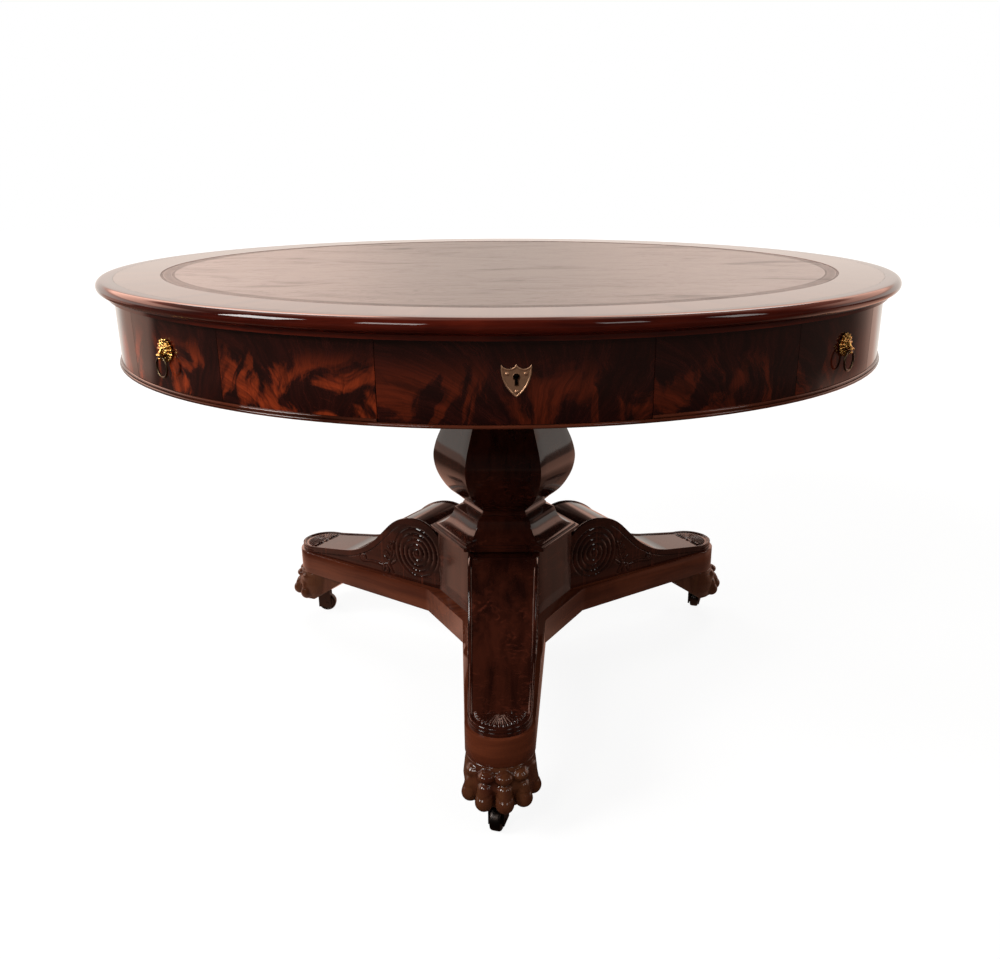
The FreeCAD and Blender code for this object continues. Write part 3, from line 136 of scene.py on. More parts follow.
class DrumTableTop(bpy.types.PropertyGroup):
    leather_dark: colour("Leather shade", (0.056, 0.042, 0.034), "Worn and creased leather")
    leather_body: colour("Leather body", (0.222, 0.178, 0.154), "Leather between the creases")
    leather_pressed: colour("Pressed lines", (0.03, 0.02, 0.016), "Border lines pressed into the leather")
    tooling_width: millimetres("Tooled border", 19, "Width of the pressed border round the leather")
    tooling_pitch: millimetres("Tooling repeat", 13, "Length of one repeat of the pressed border")


class DrumTableMetals(bpy.types.PropertyGroup):
    gilt: colour("Gilt", (0.62, 0.37, 0.11), "Gilding of the masks")
    brass: colour("Brass", (0.66, 0.38, 0.23), "Lacquered brass of the keyhole shields")
    bronze: colour("Bronze", (0.12, 0.085, 0.05), "Handled brass of the rings")
    # Tarnish of worn patches, and also the painted shade that darkens the hollows of the metal
    tarnish_and_shade: colour("Tarnish", (0.075, 0.036, 0.016), "Dirt in the hollows of the brass")
    iron: colour("Iron", (0.035, 0.03, 0.028), "Castors and pivot")
    steel: colour("Steel", (0.05, 0.048, 0.045), "Lock cases")


class DrumTableCarving(bpy.types.PropertyGroup):
    scroll_turns: whole("Scroll turns", 5, 2, 10, "Turns of the carved scroll")
    scroll_depth: millimetres("Scroll depth", 2.6, "Depth between the turns of the scroll")
    leaf_height: millimetres("Leaf height", 2.4, "Carved leaf above its ground")
    fan_petals: whole("Fan petals", 17, 5, 30, "Petals of the fan on each toe")
    fan_height: millimetres("Fan height", 3.4, "Fan above the toe")
    paw_grain: millimetres("Paw fineness", 1.25, "Size of the facets of the carved paws")
    mask_grain: millimetres("Mask fineness", 0.33, "Size of the facets of the cast masks")


class DrumTableStage(bpy.types.PropertyGroup):
    sky: amount("Fill", 0.26, "Even light from all round")
    sheen: amount("Room sheen", 1.02, "Pale room that polished faces mirror")
    dusk: amount("Dark side", 0.045, "Dark side of the room that polished faces mirror")
    tint: colour("Room tint", (1.0, 0.89, 0.81), "Colour of the room that polished faces mirror")
    glow: colour("Warm tint", (1.0, 0.52, 0.38), "Mirrored floor near the table, and the high wall")
    lamp: amount("Windows", 1.0, "Strength of the soft windows")
    camera_azimuth: degrees("Camera azimuth", -1.32, "Camera's place round the table")
    camera_yaw: degrees("Camera yaw", -1.517, "Camera's aim beside the column")
    camera_pitch: degrees("Camera pitch", 18.482, "Camera's tilt below the level")


def settings(group):
    return getattr(bpy.context.scene, "drumtable_" + group)


# Shader building


class Signal:
    """Value that runs through a node tree, so that sums with it can be written out."""

    def __init__(self, tree, socket):
        self.tree = tree
        self.socket = socket

    def __add__(self, other):
        return self.tree.math("ADD", self, other)

    def __sub__(self, other):
        return self.tree.math("SUBTRACT", self, other)

    def __rsub__(self, other):
        return self.tree.math("SUBTRACT", other, self)

    def __mul__(self, other):
        return self.tree.math("MULTIPLY", self, other)

    def __truediv__(self, other):
        return self.tree.math("DIVIDE", self, other)

    def __abs__(self):
        return self.tree.math("ABSOLUTE", self)


class Tree:
    """Short calls for building a node tree."""

    def __init__(self, tree):
        self.tree = tree

    def add(self, kind, inputs=None, **values):
        node = self.tree.nodes.new("ShaderNode" + kind)
        for name, value in values.items():
            setattr(node, name, value)
        for name, value in (inputs or {}).items():
            self.set(node, name, value)
        return node

    def read(self, kind, output=0, inputs=None, **values):
        """One output of a new node."""
        return Signal(self, self.add(kind, inputs, **values).outputs[output])

    def set(self, node, name, value):
        socket = node.inputs[name]
        if isinstance(value, Signal):
            self.tree.links.new(value.socket, socket)
        else:
            socket.default_value = value

    def math(self, operation, *values, clamp=False):
        return self.read("Math", 0, dict(enumerate(values)), operation=operation, use_clamp=clamp)

    def combine(self, x, y, z):
        return self.read("CombineXYZ", 0, {"X": x, "Y": y, "Z": z})

    def split(self, vector):
        return [Signal(self, output) for output in self.add("SeparateXYZ", {"Vector": vector}).outputs]

    def noise(self, vector, scale, detail, roughness=0.5, distortion=0.0):
        inputs = {"Vector": vector, "Scale": scale, "Detail": detail, "Roughness": roughness,
                  "Distortion": distortion}
        return self.read("TexNoise", 0, inputs)

    def step(self, value, low, high, start=0.0, end=1.0):
        """Smooth step from low to high."""
        inputs = {"Value": value, "From Min": low, "From Max": high, "To Min": start, "To Max": end}
        return self.read("MapRange", 0, inputs, interpolation_type="SMOOTHSTEP")

    def between(self, factor, first, second):
        """Number between two others."""
        return self.read("Mix", 0, {0: factor, 2: first, 3: second}, data_type="FLOAT")

    def blend(self, factor, first, second):
        """Colour between two others."""
        first, second = (value if isinstance(value, Signal) else (*value, 1) for value in (first, second))
        return self.read("Mix", 2, {0: factor, 6: first, 7: second}, data_type="RGBA")

    def rays(self, *kinds):
        """Whether a ray is of each kind."""
        outputs = self.add("LightPath").outputs
        return [Signal(self, outputs[kind]) for kind in kinds]

    def bump(self, height, distance):
        return self.read("Bump", 0, {"Height": height, "Distance": distance})


def node_group(name, inputs, outputs, build):
    """Shader group made once. Inputs are (name, kind, default)."""
    if name in bpy.data.node_groups:
        return bpy.data.node_groups[name]
    group = bpy.data.node_groups.new(name, "ShaderNodeTree")
    for label, kind, default in inputs:
        socket = group.interface.new_socket(label, in_out="INPUT", socket_type="NodeSocket" + kind)
        if default is not None:
            socket.default_value = default
    for label in outputs:
        group.interface.new_socket(label, in_out="OUTPUT", socket_type="NodeSocketFloat")
    tree = Tree(group)
    source = group.nodes.new("NodeGroupInput").outputs
    target = group.nodes.new("NodeGroupOutput").inputs
    for label, value in build(tree, {label: Signal(tree, source[label]) for label, _, _ in inputs}).items():
        group.links.new(value.socket, target[label])
    return group


def place_group(tree, group, inputs):
    """Outputs of a group placed in a tree, by name."""
    node = tree.add("Group", inputs, node_tree=group)
    return {output.name: Signal(tree, output) for output in node.outputs}


def grain_group():
    """Straight grain: the vector runs along the board, across it and into it, in metres."""
    def build(tree, source):
        along, across, depth = tree.split(source["Vector"])
        across = across + tree.noise(source["Vector"], 5.0, 2.0) * source["Waviness"]
        streak = tree.noise(tree.combine(along * 2.2, across * 42.0, depth * 42.0), 1.0, 6.0, 0.62, 0.4)
        broad = tree.noise(tree.combine(along * 5.0, across * 16.0, depth), 1.0, 3.0, 0.5, 1.1)
        fibre = tree.noise(tree.combine(along * 55.0, across * 900.0, depth * 900.0), 1.0, 2.0, 0.6)
        curl = tree.noise(tree.combine(along * 95.0, across * 40.0, depth), 1.0, 4.0, 0.65, 1.4)
        patch = tree.noise(source["Vector"], 16.0, 2.0)
        return {"Figure": tree.step(streak * 0.6 + broad * 0.4, 0.34, 0.66),
                "Pores": tree.step(fibre, 0.63, 0.75),
                "Mottle": tree.step(curl, 0.5, 0.68) * tree.step(patch, 0.42, 0.62)}
    return node_group("straight grain", [("Vector", "Vector", None), ("Waviness", "Float", 0.01)],
                      ["Figure", "Pores", "Mottle"], build)


def polish_group():
    """Old French polish: roughness that drifts, and a surface that isn't quite flat."""
    def build(tree, source):
        cloud = tree.noise(source["Vector"], 14.0, 4.0, 0.6)
        swell = tree.noise(source["Vector"], 22.0, 2.0)
        fine = tree.noise(source["Vector"], 260.0, 2.0, 0.5)
        return {"Roughness": tree.step(cloud, 0.35, 0.75, source["Lowest"], source["Highest"]),
                "Height": swell * 0.9 + fine * 0.04}
    inputs = [("Vector", "Vector", None), ("Lowest", "Float", 0.3), ("Highest", "Float", 0.41)]
    return node_group("old polish", inputs, ["Roughness", "Height"], build)


def plume_group():
    """Flame figure: fine streaks that fan out from below the panel, and blotched plumes in its lower part.
    Keeping the plumes low is partly the figure and partly painted shadow of the lipping over the upper part.
    """
    def build(tree, source):
        across, up, seed = tree.split(source["Vector"])
        warp = tree.noise(tree.combine(across, up, seed), 13.0, 3.0, 0.55, 0.4)
        across = across + (warp - 0.5) * 0.045
        reach = up + 0.06
        angle = tree.math("ARCTAN2", across, reach)
        radius = tree.math("SQRT", across * across + reach * reach)
        curled = angle + radius * 3.0
        streak = tree.noise(tree.combine(curled * 11.0, radius * 12.0, seed), 1.0, 8.0, 0.68, 0.25)
        fine = tree.noise(tree.combine(curled * 70.0, radius * 16.0, seed), 1.0, 4.0, 0.6, 0.2)
        blotch = tree.noise(tree.combine(across * 14.0, up * 9.0, seed), 1.0, 5.0, 0.6, 0.8)
        # Plumes fade out above the lower part: the veneer's figure, and also painted shadow under the lipping
        plume = tree.step(up + (streak - 0.5) * 0.05, 0.078, 0.034) * tree.step(blotch, 0.47, 0.56)
        plume = plume * tree.step(streak, 0.32, 0.62, 0.35, 1.0) * tree.step(fine, 0.3, 0.62, 0.72, 1.0)
        veil = tree.step(streak, 0.38, 0.66) * tree.step(fine, 0.36, 0.66, 0.4, 1.0)
        return {"Plume": plume, "Streak": veil, "Lobes": tree.step(blotch, 0.55, 0.35)}
    return node_group("plume figure", [("Vector", "Vector", None)], ["Plume", "Streak", "Lobes"], build)


def start_material(name):
    """New material with its tree and Principled shader, or the material alone if it's already made."""
    material = bpy.data.materials.get(name)
    if material:
        return material, None, None
    material = bpy.data.materials.new(name)
    material.use_nodes = True
    material.node_tree.nodes.clear()
    tree = Tree(material.node_tree)
    shader = tree.add("BsdfPrincipled")
    tree.set(tree.add("OutputMaterial"), "Surface", Signal(tree, shader.outputs[0]))
    return material, tree, shader


def polished(tree, shader, vector, gloss):
    """Give a shader the clear coat of a French polish."""
    finish = place_group(tree, polish_group(), {"Vector": vector, "Lowest": 0.3, "Highest": 0.41})
    for name, value in (("Coat Weight", 1.0), ("Coat IOR", 1.42), ("Coat Roughness", gloss),
                        ("Specular IOR Level", 0.0), ("Roughness", finish["Roughness"]),
                        ("Normal", tree.bump(finish["Height"], POLISH_RIPPLE * MM))):
        tree.set(shader, name, value)


def ring_coordinates(tree):
    """Radius, azimuth in degrees and height on the drum."""
    x, y, z = tree.split(tree.read("TexCoord", "Object"))
    radius = tree.math("SQRT", x * x + y * y)
    return radius, tree.math("ARCTAN2", x, y * -1.0) * DEGREES, z


def veneer_material(kind):
    """Flame veneer for lock fronts, ring fronts or leaves, each with its figure on its own middle."""
    material, tree, shader = start_material("flame veneer on " + kind)
    if not tree:
        return material
    woods = settings("woods")
    shift, variety = VENEERS[kind]
    _, azimuth, height = ring_coordinates(tree)
    shifted = azimuth + (360.0 + shift)
    quarter = tree.math("FLOOR", shifted / 90.0)
    local = tree.math("MODULO", shifted, 90.0) - 45.0
    if kind == "leaves":
        side = tree.math("SIGN", local)
        quarter = quarter + side * 0.37
        local = (abs(local) - LEAF_MIDDLE) * side
    # The fronts whose middles lie near -45 degrees, halfway between the front and the left side, and near 135
    # degrees opposite them, have the brightest plumes: partly the veneer's own variety, partly painted light
    # falling on the left of the front
    middle = (azimuth - local) * (2 / DEGREES)
    figure_and_painted_light = tree.step(tree.math("COSINE", middle + QUARTER), 0.45, 0.75, 0.32, 1.0)
    arc = local * (FRONT_RADIUS * MM / DEGREES)
    up = height - FRIEZE_FOOT * MM
    seed = quarter * variety
    figure = place_group(tree, plume_group(), {"Vector": tree.combine(arc, up, seed)})
    grain = place_group(tree, grain_group(), {"Vector": tree.combine(up, arc, seed), "Waviness": 0.03})
    colours = tree.blend(figure["Streak"], woods.veneer_dark, woods.veneer_red)
    colours = tree.blend(figure["Lobes"] * 0.45, colours, woods.veneer_dark)
    colours = tree.blend(figure["Plume"] * figure_and_painted_light, colours, woods.veneer_flame)
    tree.set(shader, "Base Color", tree.blend(grain["Pores"] * 0.5, colours, woods.veneer_dark))
    polished(tree, shader, tree.combine(arc, up, seed), FINE_GLOSS)
    return material


def shaded(tone, share):
    return tuple(part * share for part in tone)


def wood_material(name, dark, light, source, coated=True, waviness=0.012, seams=0.0, mottle=0.0,
                  gloss=FINE_GLOSS):
    """Straight-grained wood. The source says which way the grain runs: ring, radial, attribute, x or y."""
    material, tree, shader = start_material(name)
    if not tree:
        return material
    if source in ("ring", "radial"):
        radius, azimuth, height = ring_coordinates(tree)
        arc = azimuth * (0.6 / DEGREES)
        parts = (arc, height, radius) if source == "ring" else (radius, arc, height)
    elif source == "attribute":
        parts = tree.split(tree.read("Attribute", "Vector", attribute_name="grain"))
    else:
        parts = tree.split(tree.read("TexCoord", "Object"))
        first = "xyz".index(source)
        parts = parts[first:] + parts[:first]
    vector = tree.combine(*parts)
    grain = place_group(tree, grain_group(), {"Vector": vector, "Waviness": waviness})
    colours = tree.blend(grain["Figure"], dark, light)
    if mottle:
        colours = tree.blend(grain["Mottle"] * mottle, colours, shaded(light, 2.4))
    colours = tree.blend(grain["Pores"] * 0.45, colours, dark)
    if seams:
        # Each length of banding has a shade of its own, and a fine dark joint
        start = azimuth + (360.0 - BASE_TURN)
        off = abs(tree.math("MODULO", start + seams / 2, seams) - seams / 2)
        shade = tree.noise(tree.combine(tree.math("FLOOR", start / seams), 0.5, 0.5), 3.7, 0.0)
        colours = tree.blend(tree.step(shade, 0.2, 0.8, 0.0, 0.35), colours, dark)
        colours = tree.blend(tree.step(off, 0.055, 0.02, 0.0, 0.55), colours, dark)
    # Painted shade: the hollow attribute darkens the carving's grooves and creases towards a deep tone of the
    # dark colour
    hollow = tree.read("Attribute", "Fac", attribute_name="hollow")
    tree.set(shader, "Base Color", tree.blend(hollow * 0.75, colours, shaded(dark, 0.35)))
    if coated:
        polished(tree, shader, vector, gloss)
    else:
        tree.set(shader, "Specular IOR Level", 0.3)
        tree.set(shader, "Roughness", tree.step(grain["Figure"], 0.0, 1.0, 0.62, 0.5))
        tree.set(shader, "Normal", tree.bump(grain["Figure"], BARE_GRAIN * MM))
    return material


def metal_material(name, base, roughness, wear, metallic=1.0):
    """Cast or wrought metal, with tarnished worn patches, painted shade in its hollows, and fine handling
    marks.
    """
    material, tree, shader = start_material(name)
    if not tree:
        return material
    place = tree.read("TexCoord", "Object")
    patch = tree.step(tree.noise(place, 160.0, 4.0, 0.6), 0.42, 0.75) * (wear * 0.6)
    # Painted shade: the hollow attribute darkens the metal's recesses towards the tarnish colour, on top of the
    # random worn patches
    wear_and_hollow_shade = tree.math("ADD", patch, tree.read("Attribute", "Fac", attribute_name="hollow"), clamp=True)
    tree.set(shader, "Base Color", tree.blend(wear_and_hollow_shade, base, settings("metals").tarnish_and_shade))
    tree.set(shader, "Metallic", metallic)
    tree.set(shader, "Roughness", tree.step(wear_and_hollow_shade, 0.0, 1.0, roughness, min(roughness + 0.4, 0.9)))
    tree.set(shader, "Normal", tree.bump(tree.noise(place, 900.0, 3.0, 0.6), CAST_GRAIN * MM))
    return material


def pressed_border(tree, radius, azimuth):
    """Border pressed into the leather, linked loops between two pairs of rules, and the band that it fills."""
    top = settings("top")
    band = (TOOLING_EDGE * MM - radius) / top.tooling_width
    inside = tree.step(band, 0.0, 0.02) * tree.step(band, 1.02, 1.0)
    rules = loops = 0.0
    for share in (0.04, 0.14, 0.87, 0.97):
        rules = tree.math("MAXIMUM", rules, tree.step(abs(band - share), 0.036, 0.014))
    phase = azimuth * (TOOLING_MIDDLE * MM / DEGREES) * (2 * math.pi / top.tooling_pitch)
    wave = tree.math("SINE", phase)
    middle = band - 0.515
    for sign in (1.0, -1.0):
        loops = tree.math("MAXIMUM", loops, tree.step(abs(middle - wave * (0.23 * sign)), 0.075, 0.02))
    seeds = tree.step(abs(wave), 0.86, 0.97) * tree.step(abs(middle), 0.09, 0.04)
    pressed = tree.math("MAXIMUM", rules, tree.math("MAXIMUM", loops, seeds) * 0.75)
    return pressed * inside, inside


def leather_material():
    """Waxed leather with creases, wear and a border pressed in without gold."""
    material, tree, shader = start_material("writing leather")
    if not tree:
        return material
    top = settings("top")
    place = tree.read("TexCoord", "Object")
    x, y, _ = tree.split(place)
    cloud = tree.noise(tree.combine(x * 3.6, y * 9.5, 0.0), 1.0, 6.0, 0.62, 0.9)
    broad = tree.noise(tree.combine(x * 2.0, y * 4.5, 3.0), 1.0, 3.0, 0.5, 0.5)
    creases = tree.noise(tree.combine(x * 6.0, y * 20.0, 1.0), 1.0, 5.0, 0.6, 1.6)
    crease = tree.step(abs(creases - 0.5), 0.02, 0.0)
    shade = tree.step(cloud, 0.5, 0.76, 0.0, 0.75) + tree.step(broad, 0.52, 0.78, 0.0, 0.4)
    shade = tree.math("ADD", shade, crease * 0.35, clamp=True)
    radius, azimuth, _ = ring_coordinates(tree)
    pressed, inside = pressed_border(tree, radius, azimuth)
    colours = tree.blend(shade, top.leather_body, top.leather_dark)
    colours = tree.blend(inside * 0.3, colours, top.leather_dark)
    pebble = tree.read("TexVoronoi", 0, {"Vector": place, "Scale": 620.0}, feature="DISTANCE_TO_EDGE")
    height = tree.step(pebble, 0.0, 0.25) * 0.25 + cloud * 0.9 - (crease * 0.3 + pressed * 0.8)
    for name, value in (("Base Color", tree.blend(pressed * 0.85, colours, top.leather_pressed)),
                        ("Roughness", tree.step(shade, 0.0, 1.0, 0.36, 0.52) + pressed * 0.25),
                        ("Specular IOR Level", 0.3), ("Coat Weight", 0.3 - inside * 0.12),
                        ("Coat Roughness", 0.16), ("Normal", tree.bump(height, LEATHER_GRAIN * MM))):
        tree.set(shader, name, value)
    return material


# Geometry. Pieces are worked out in millimetres, facing +X, and turned to their azimuth.


def ramp(value):
    return np.clip(value, 0, 1)


def rounded(value):
    """Height of a half round that spans from -1 to 1."""
    return np.sqrt(ramp(1 - value ** 2))


def reeded(phase):
    """Height of a row of half rounds, one for each whole step of the phase."""
    return rounded(2 * (phase - np.floor(phase)) - 1)


def turned(points, azimuth):
    angle = math.radians(azimuth - 90)
    cosine, sine = math.cos(angle), math.sin(angle)
    x, y, z = np.transpose(points)
    return np.stack([x * cosine - y * sine, x * sine + y * cosine, z], 1)


def new_piece(name, points, faces, body, material, nodes, smooth=35, grain=None, hollow=None):
    """Mesh object from points in millimetres, riding on a body and standing for CAD nodes."""
    mesh = bpy.data.meshes.new(name)
    mesh.from_pydata((points * MM).tolist(), [], faces.tolist() if isinstance(faces, np.ndarray) else faces)
    if grain is not None:
        attribute = mesh.attributes.new("grain", "FLOAT_VECTOR", "POINT")
        attribute.data.foreach_set("vector", (grain * MM).astype(np.float32).ravel())
    # The hollow attribute says how deep each point lies in a recess; the finishes darken it as painted shade
    if hollow is not None:
        attribute = mesh.attributes.new("hollow", "FLOAT", "POINT")
        attribute.data.foreach_set("value", ramp(hollow).astype(np.float32).ravel())
    mesh.polygons.foreach_set("use_smooth", [True] * len(mesh.polygons))
    mesh.set_sharp_from_angle(angle=math.radians(smooth))
    mesh.materials.append(material)
    piece = bpy.data.objects.new(name, mesh)
    bpy.context.scene.collection.objects.link(piece)
    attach(piece, body)
    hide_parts(*nodes)


def looped_faces(rows, columns, both=False):
    """Quads of a grid of points whose rows are closed loops, and whose columns are too if both is true."""
    row, column = np.meshgrid(np.arange(rows if both else rows - 1), np.arange(columns), indexing="ij")
    beyond, after = (row + 1) % rows, (column + 1) % columns
    corners = ((row, column), (row, after), (beyond, after), (beyond, column))
    return np.stack([up * columns + along for up, along in corners], -1).reshape(-1, 4)


def capped_faces(rows, columns):
    """Faces of a tube of looped rows, closed at both ends."""
    ends = [list(range(columns))[::-1], list(range((rows - 1) * columns, rows * columns))]
    return looped_faces(rows, columns).tolist() + ends


def lathe(outline, segments=256):
    """Points and faces of a closed outline of (radius, height), turned about the axis."""
    outline = np.asarray(outline, float)
    angles = np.linspace(0, 2 * math.pi, segments, endpoint=False)
    radius, height = outline[:, 0], outline[:, 1]
    points = np.stack([np.outer(np.cos(angles), radius), np.outer(np.sin(angles), radius),
                       np.outer(np.ones(segments), height)], -1).reshape(-1, 3)
    return points, looped_faces(segments, len(outline), True)[:, [0, 3, 2, 1]]


def arc_points(centre, radius, start, end, count):
    angles = np.radians(np.linspace(start, end, count))
    return np.stack([centre[0] + radius * np.cos(angles), centre[1] + radius * np.sin(angles)], 1)


def segment_distance(across, up, start, end):
    """Distance to the line between two points, and the nearest place on it as a share of its length."""
    dx, dy = end[0] - start[0], end[1] - start[1]
    share = ramp(((across - start[0]) * dx + (up - start[1]) * dy) / (dx * dx + dy * dy))
    return np.hypot(across - start[0] - share * dx, up - start[1] - share * dy), share


def smooth_line(points, count):
    """Points of a smooth curve through the given ones."""
    points = np.asarray(points, float)
    ends = np.vstack([2 * points[0] - points[1], points, 2 * points[-1] - points[-2]])
    places = np.linspace(0, len(points) - 1, count)
    index = np.minimum(places.astype(int), len(points) - 2)
    part = (places - index)[:, None]
    before, here, there, beyond = (ends[index + step] for step in range(4))
    return 0.5 * (2 * here + (there - before) * part + (2 * before - 5 * here + 4 * there - beyond) * part ** 2
                  + (3 * here - before - 3 * there + beyond) * part ** 3)


def hexagon_column(profile):
    """Solid with a hexagonal plan from (height, corner radius) rows, its arrises slightly rounded."""
    corners = np.exp(1j * np.radians(np.arange(6) * 60.0))[:, None]
    spread = np.exp(1j * np.radians(np.linspace(-30, 30, 5)))
    part = np.arange(1, 6) / 6
    rows = []
    for height, radius in profile:
        soft = min(2.0, radius * 0.3)
        arrises = corners * (radius - soft / math.cos(math.radians(30)) + soft * spread)
        sides = arrises[:, -1:] * (1 - part) + np.roll(arrises[:, :1], -1, axis=0) * part
        ring = np.hstack([arrises, sides]).ravel()
        rows.append(np.stack([ring.real, ring.imag, np.full(len(ring), height)], 1))
    points = np.vstack(rows)
    return turned(points, BASE_TURN + 90), capped_faces(len(rows), len(rows[0])), points[:, [2, 0, 1]]


# Carving by distance fields, negative inside


def soft_union(first, second, soft):
    share = ramp(0.5 + 0.5 * (second - first) / soft)
    return second * (1 - share) + first * share - soft * share * (1 - share)


def soft_cut(first, second, soft):
    return -soft_union(-first, second, soft)


def ellipsoid(grid, centre, radii):
    scaled = [(axis - middle) / radius for axis, middle, radius in zip(grid, centre, radii)]
    return (np.sqrt(sum(part * part for part in scaled)) - 1) * min(radii)


def capsule(grid, start, start_radius, end, end_radius):
    start, end = np.array(start, float), np.array(end, float)
    line = end - start
    offsets = [axis - value for axis, value in zip(grid, start)]
    share = ramp(sum(offset * part for offset, part in zip(offsets, line)) / np.dot(line, line))
    away = np.sqrt(sum((offset - share * part) ** 2 for offset, part in zip(offsets, line)))
    return away - (start_radius + (end_radius - start_radius) * share)


def sample_grid(low, high, step):
    axes = [np.arange(a, b + step, step) for a, b in zip(low, high)]
    return np.meshgrid(*axes, indexing="ij")


def neighbour_average(points, quads):
    """Average of each point's neighbours along the edges."""
    total = np.zeros_like(points)
    hits = np.zeros(len(points))
    for start, end in ((0, 1), (1, 2), (2, 3), (3, 0)):
        np.add.at(total, quads[:, start], points[quads[:, end]])
        np.add.at(hits, quads[:, start], 1)
    return total / hits[:, None]


def net_surface(values, low, step):
    """Points and quads of the field's zero level, smoothed twice."""
    inside = values < 0
    shape = np.array(values.shape) - 1
    corners = [(i, j, k) for i in (0, 1) for j in (0, 1) for k in (0, 1)]
    count = sum(inside[i:i + shape[0], j:j + shape[1], k:k + shape[2]].astype(np.int8) for i, j, k in corners)
    mixed = (count > 0) & (count < 8)
    index = np.full(tuple(shape), -1)
    index[mixed] = np.arange(mixed.sum())
    cells = np.argwhere(mixed)
    total = np.zeros((len(cells), 3))
    hits = np.zeros(len(cells))
    for corner in corners:
        for axis in range(3):
            if corner[axis]:
                continue
            other = list(corner)
            other[axis] = 1
            here = values[tuple((cells + corner).T)]
            there = values[tuple((cells + other).T)]
            crossing = (here < 0) != (there < 0)
            share = here[crossing] / (here[crossing] - there[crossing])
            point = np.tile(np.array(corner, float), (len(share), 1))
            point[:, axis] += share
            total[crossing] += point
            hits[crossing] += 1
    points = np.array(low) + (cells + total / hits[:, None]) * step
    quads = []
    for axis in range(3):
        left, right = (axis + 1) % 3, (axis + 2) % 3
        before = [slice(None)] * 3
        after = [slice(None)] * 3
        before[axis], after[axis] = slice(None, -1), slice(1, None)
        starts, stops = inside[tuple(before)], inside[tuple(after)]
        places = np.argwhere(starts != stops)
        ok = (places[:, left] > 0) & (places[:, right] > 0)
        ok &= (places[:, left] < shape[left]) & (places[:, right] < shape[right])
        places = places[ok]
        outward = starts[tuple(places.T)]
        first, second = np.eye(3, dtype=int)[left], np.eye(3, dtype=int)[right]
        ring = [places - first - second, places - second, places, places - first]
        quad = np.stack([index[tuple(place.T)] for place in ring], 1)
        quad[~outward] = quad[~outward][:, ::-1]
        quads.append(quad)
    quads = np.vstack(quads)
    for _ in range(2):
        points = points * 0.45 + neighbour_average(points, quads) * 0.55
    return points, quads


def field_hollow(points, quads, reach, rounds):
    """How far each point lies in a hollow: its depth under the smoothed surface, as a share of the reach."""
    smooth = points
    for _ in range(rounds):
        smooth = neighbour_average(smooth, quads)
    edges = points[quads[:, 1]] - points[quads[:, 0]]
    sides = points[quads[:, 3]] - points[quads[:, 0]]
    normals = np.zeros_like(points)
    face_normals = np.cross(edges, sides)
    for corner in range(4):
        np.add.at(normals, quads[:, corner], face_normals)
    normals /= np.maximum(np.linalg.norm(normals, axis=1, keepdims=True), 1e-9)
    depth = np.sum((smooth - points) * normals, axis=1)
    return ramp(depth / reach)


def finish_nodes(names, material):
    """Give carried-over nodes of the frame their finish."""
    for name in names:
        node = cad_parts[name]
        node.data.materials.clear()
        node.data.materials.append(material)


def soften(names, width):
    """Round the arrises of carried-over nodes a little, so that they catch the light."""
    for name in names:
        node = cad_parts[name]
        weld = node.modifiers.new("joined corners", "WELD")
        weld.merge_threshold = 0.00002
        bevel = node.modifiers.new("soft arrises", "BEVEL")
        bevel.width = width * MM
        bevel.segments = 2
        bevel.limit_method = "ANGLE"
        bevel.angle_limit = math.radians(40)
        bevel.harden_normals = False
        bevel.use_clamp_overlap = True


def dark_wood():
    woods = settings("woods")
    return wood_material("dark mahogany, grain attribute", woods.solid_dark, woods.solid_red, "attribute",
                         mottle=0.55, gloss=HANDLED_GLOSS)


class Piece:
    """What every operator of this table shares."""
    bl_options = {"REGISTER", "UNDO"}

    def execute(self, context):
        self.make()
        return {"FINISHED"}


class DRUMTABLE_OT_top(Piece, bpy.types.Operator):
    """Leather, crossbanding and moulded lipping of the top"""
    bl_idname = "drumtable.top"
    bl_label = "Top"

    def make(self):
        woods = settings("woods")
        # Leather with a softly rounded edge
        rows = [(LEATHER_RADIUS, LEATHER_FOOT)]
        edge = ((0, 0.6), (0.3, 0.15), (1.1, 0))
        rows += [(LEATHER_RADIUS - inset, LEATHER_TOP - drop) for inset, drop in edge]
        rows += [(radius, LEATHER_TOP) for radius in (525, 512, 480, 400, 300, 200, 100, 30, 0.01)]
        rows += [(0.01, LEATHER_FOOT), (300, LEATHER_FOOT)]
        points, faces = lathe(rows)
        new_piece("leather", points, faces, "drum", leather_material(), ["leather_inset"])
        rim = wood_material("crossbanding", woods.rim_dark, woods.rim_red, "radial", seams=45.0)
        finish_nodes(["crossband_rim"], rim)
        # Lipping: a flat underside, a thumb moulding and a flat top
        lip = [(596.1, 727), (607.5, 727)]
        lip += arc_points((608.6, 736.2), 9.2, -84, -64, 4).tolist()
        lip += smooth_line([(612.4, 728.3), (616.6, 730.6), (619.2, 733.6), (620, 737), (619.3, 740.4),
                            (617.2, 743.4), (614, 745.4), (610.5, TOP_HEIGHT)], 30).tolist()
        lip += [(604, TOP_HEIGHT), (596.1, TOP_HEIGHT)]
        points, faces = lathe(lip, 384)
        lipping = wood_material("mahogany lipping", woods.lip_dark, woods.lip_red, "ring", waviness=0.02)
        new_piece("lipping", points, faces, "drum", lipping, ["edge_moulding"])
        finish_nodes(["under_fillet"], lipping)
        pine = wood_material("carcase pine", woods.oak_dark, woods.oak_light, "x", coated=False)
        finish_nodes(["top_board", "drawer_partitions", "drawer_stops"], pine)
        stained = wood_material("stained underside", woods.under_dark, woods.under_brown, "x", coated=False)
        finish_nodes(["bottom_board", "pivot_socket"], stained)


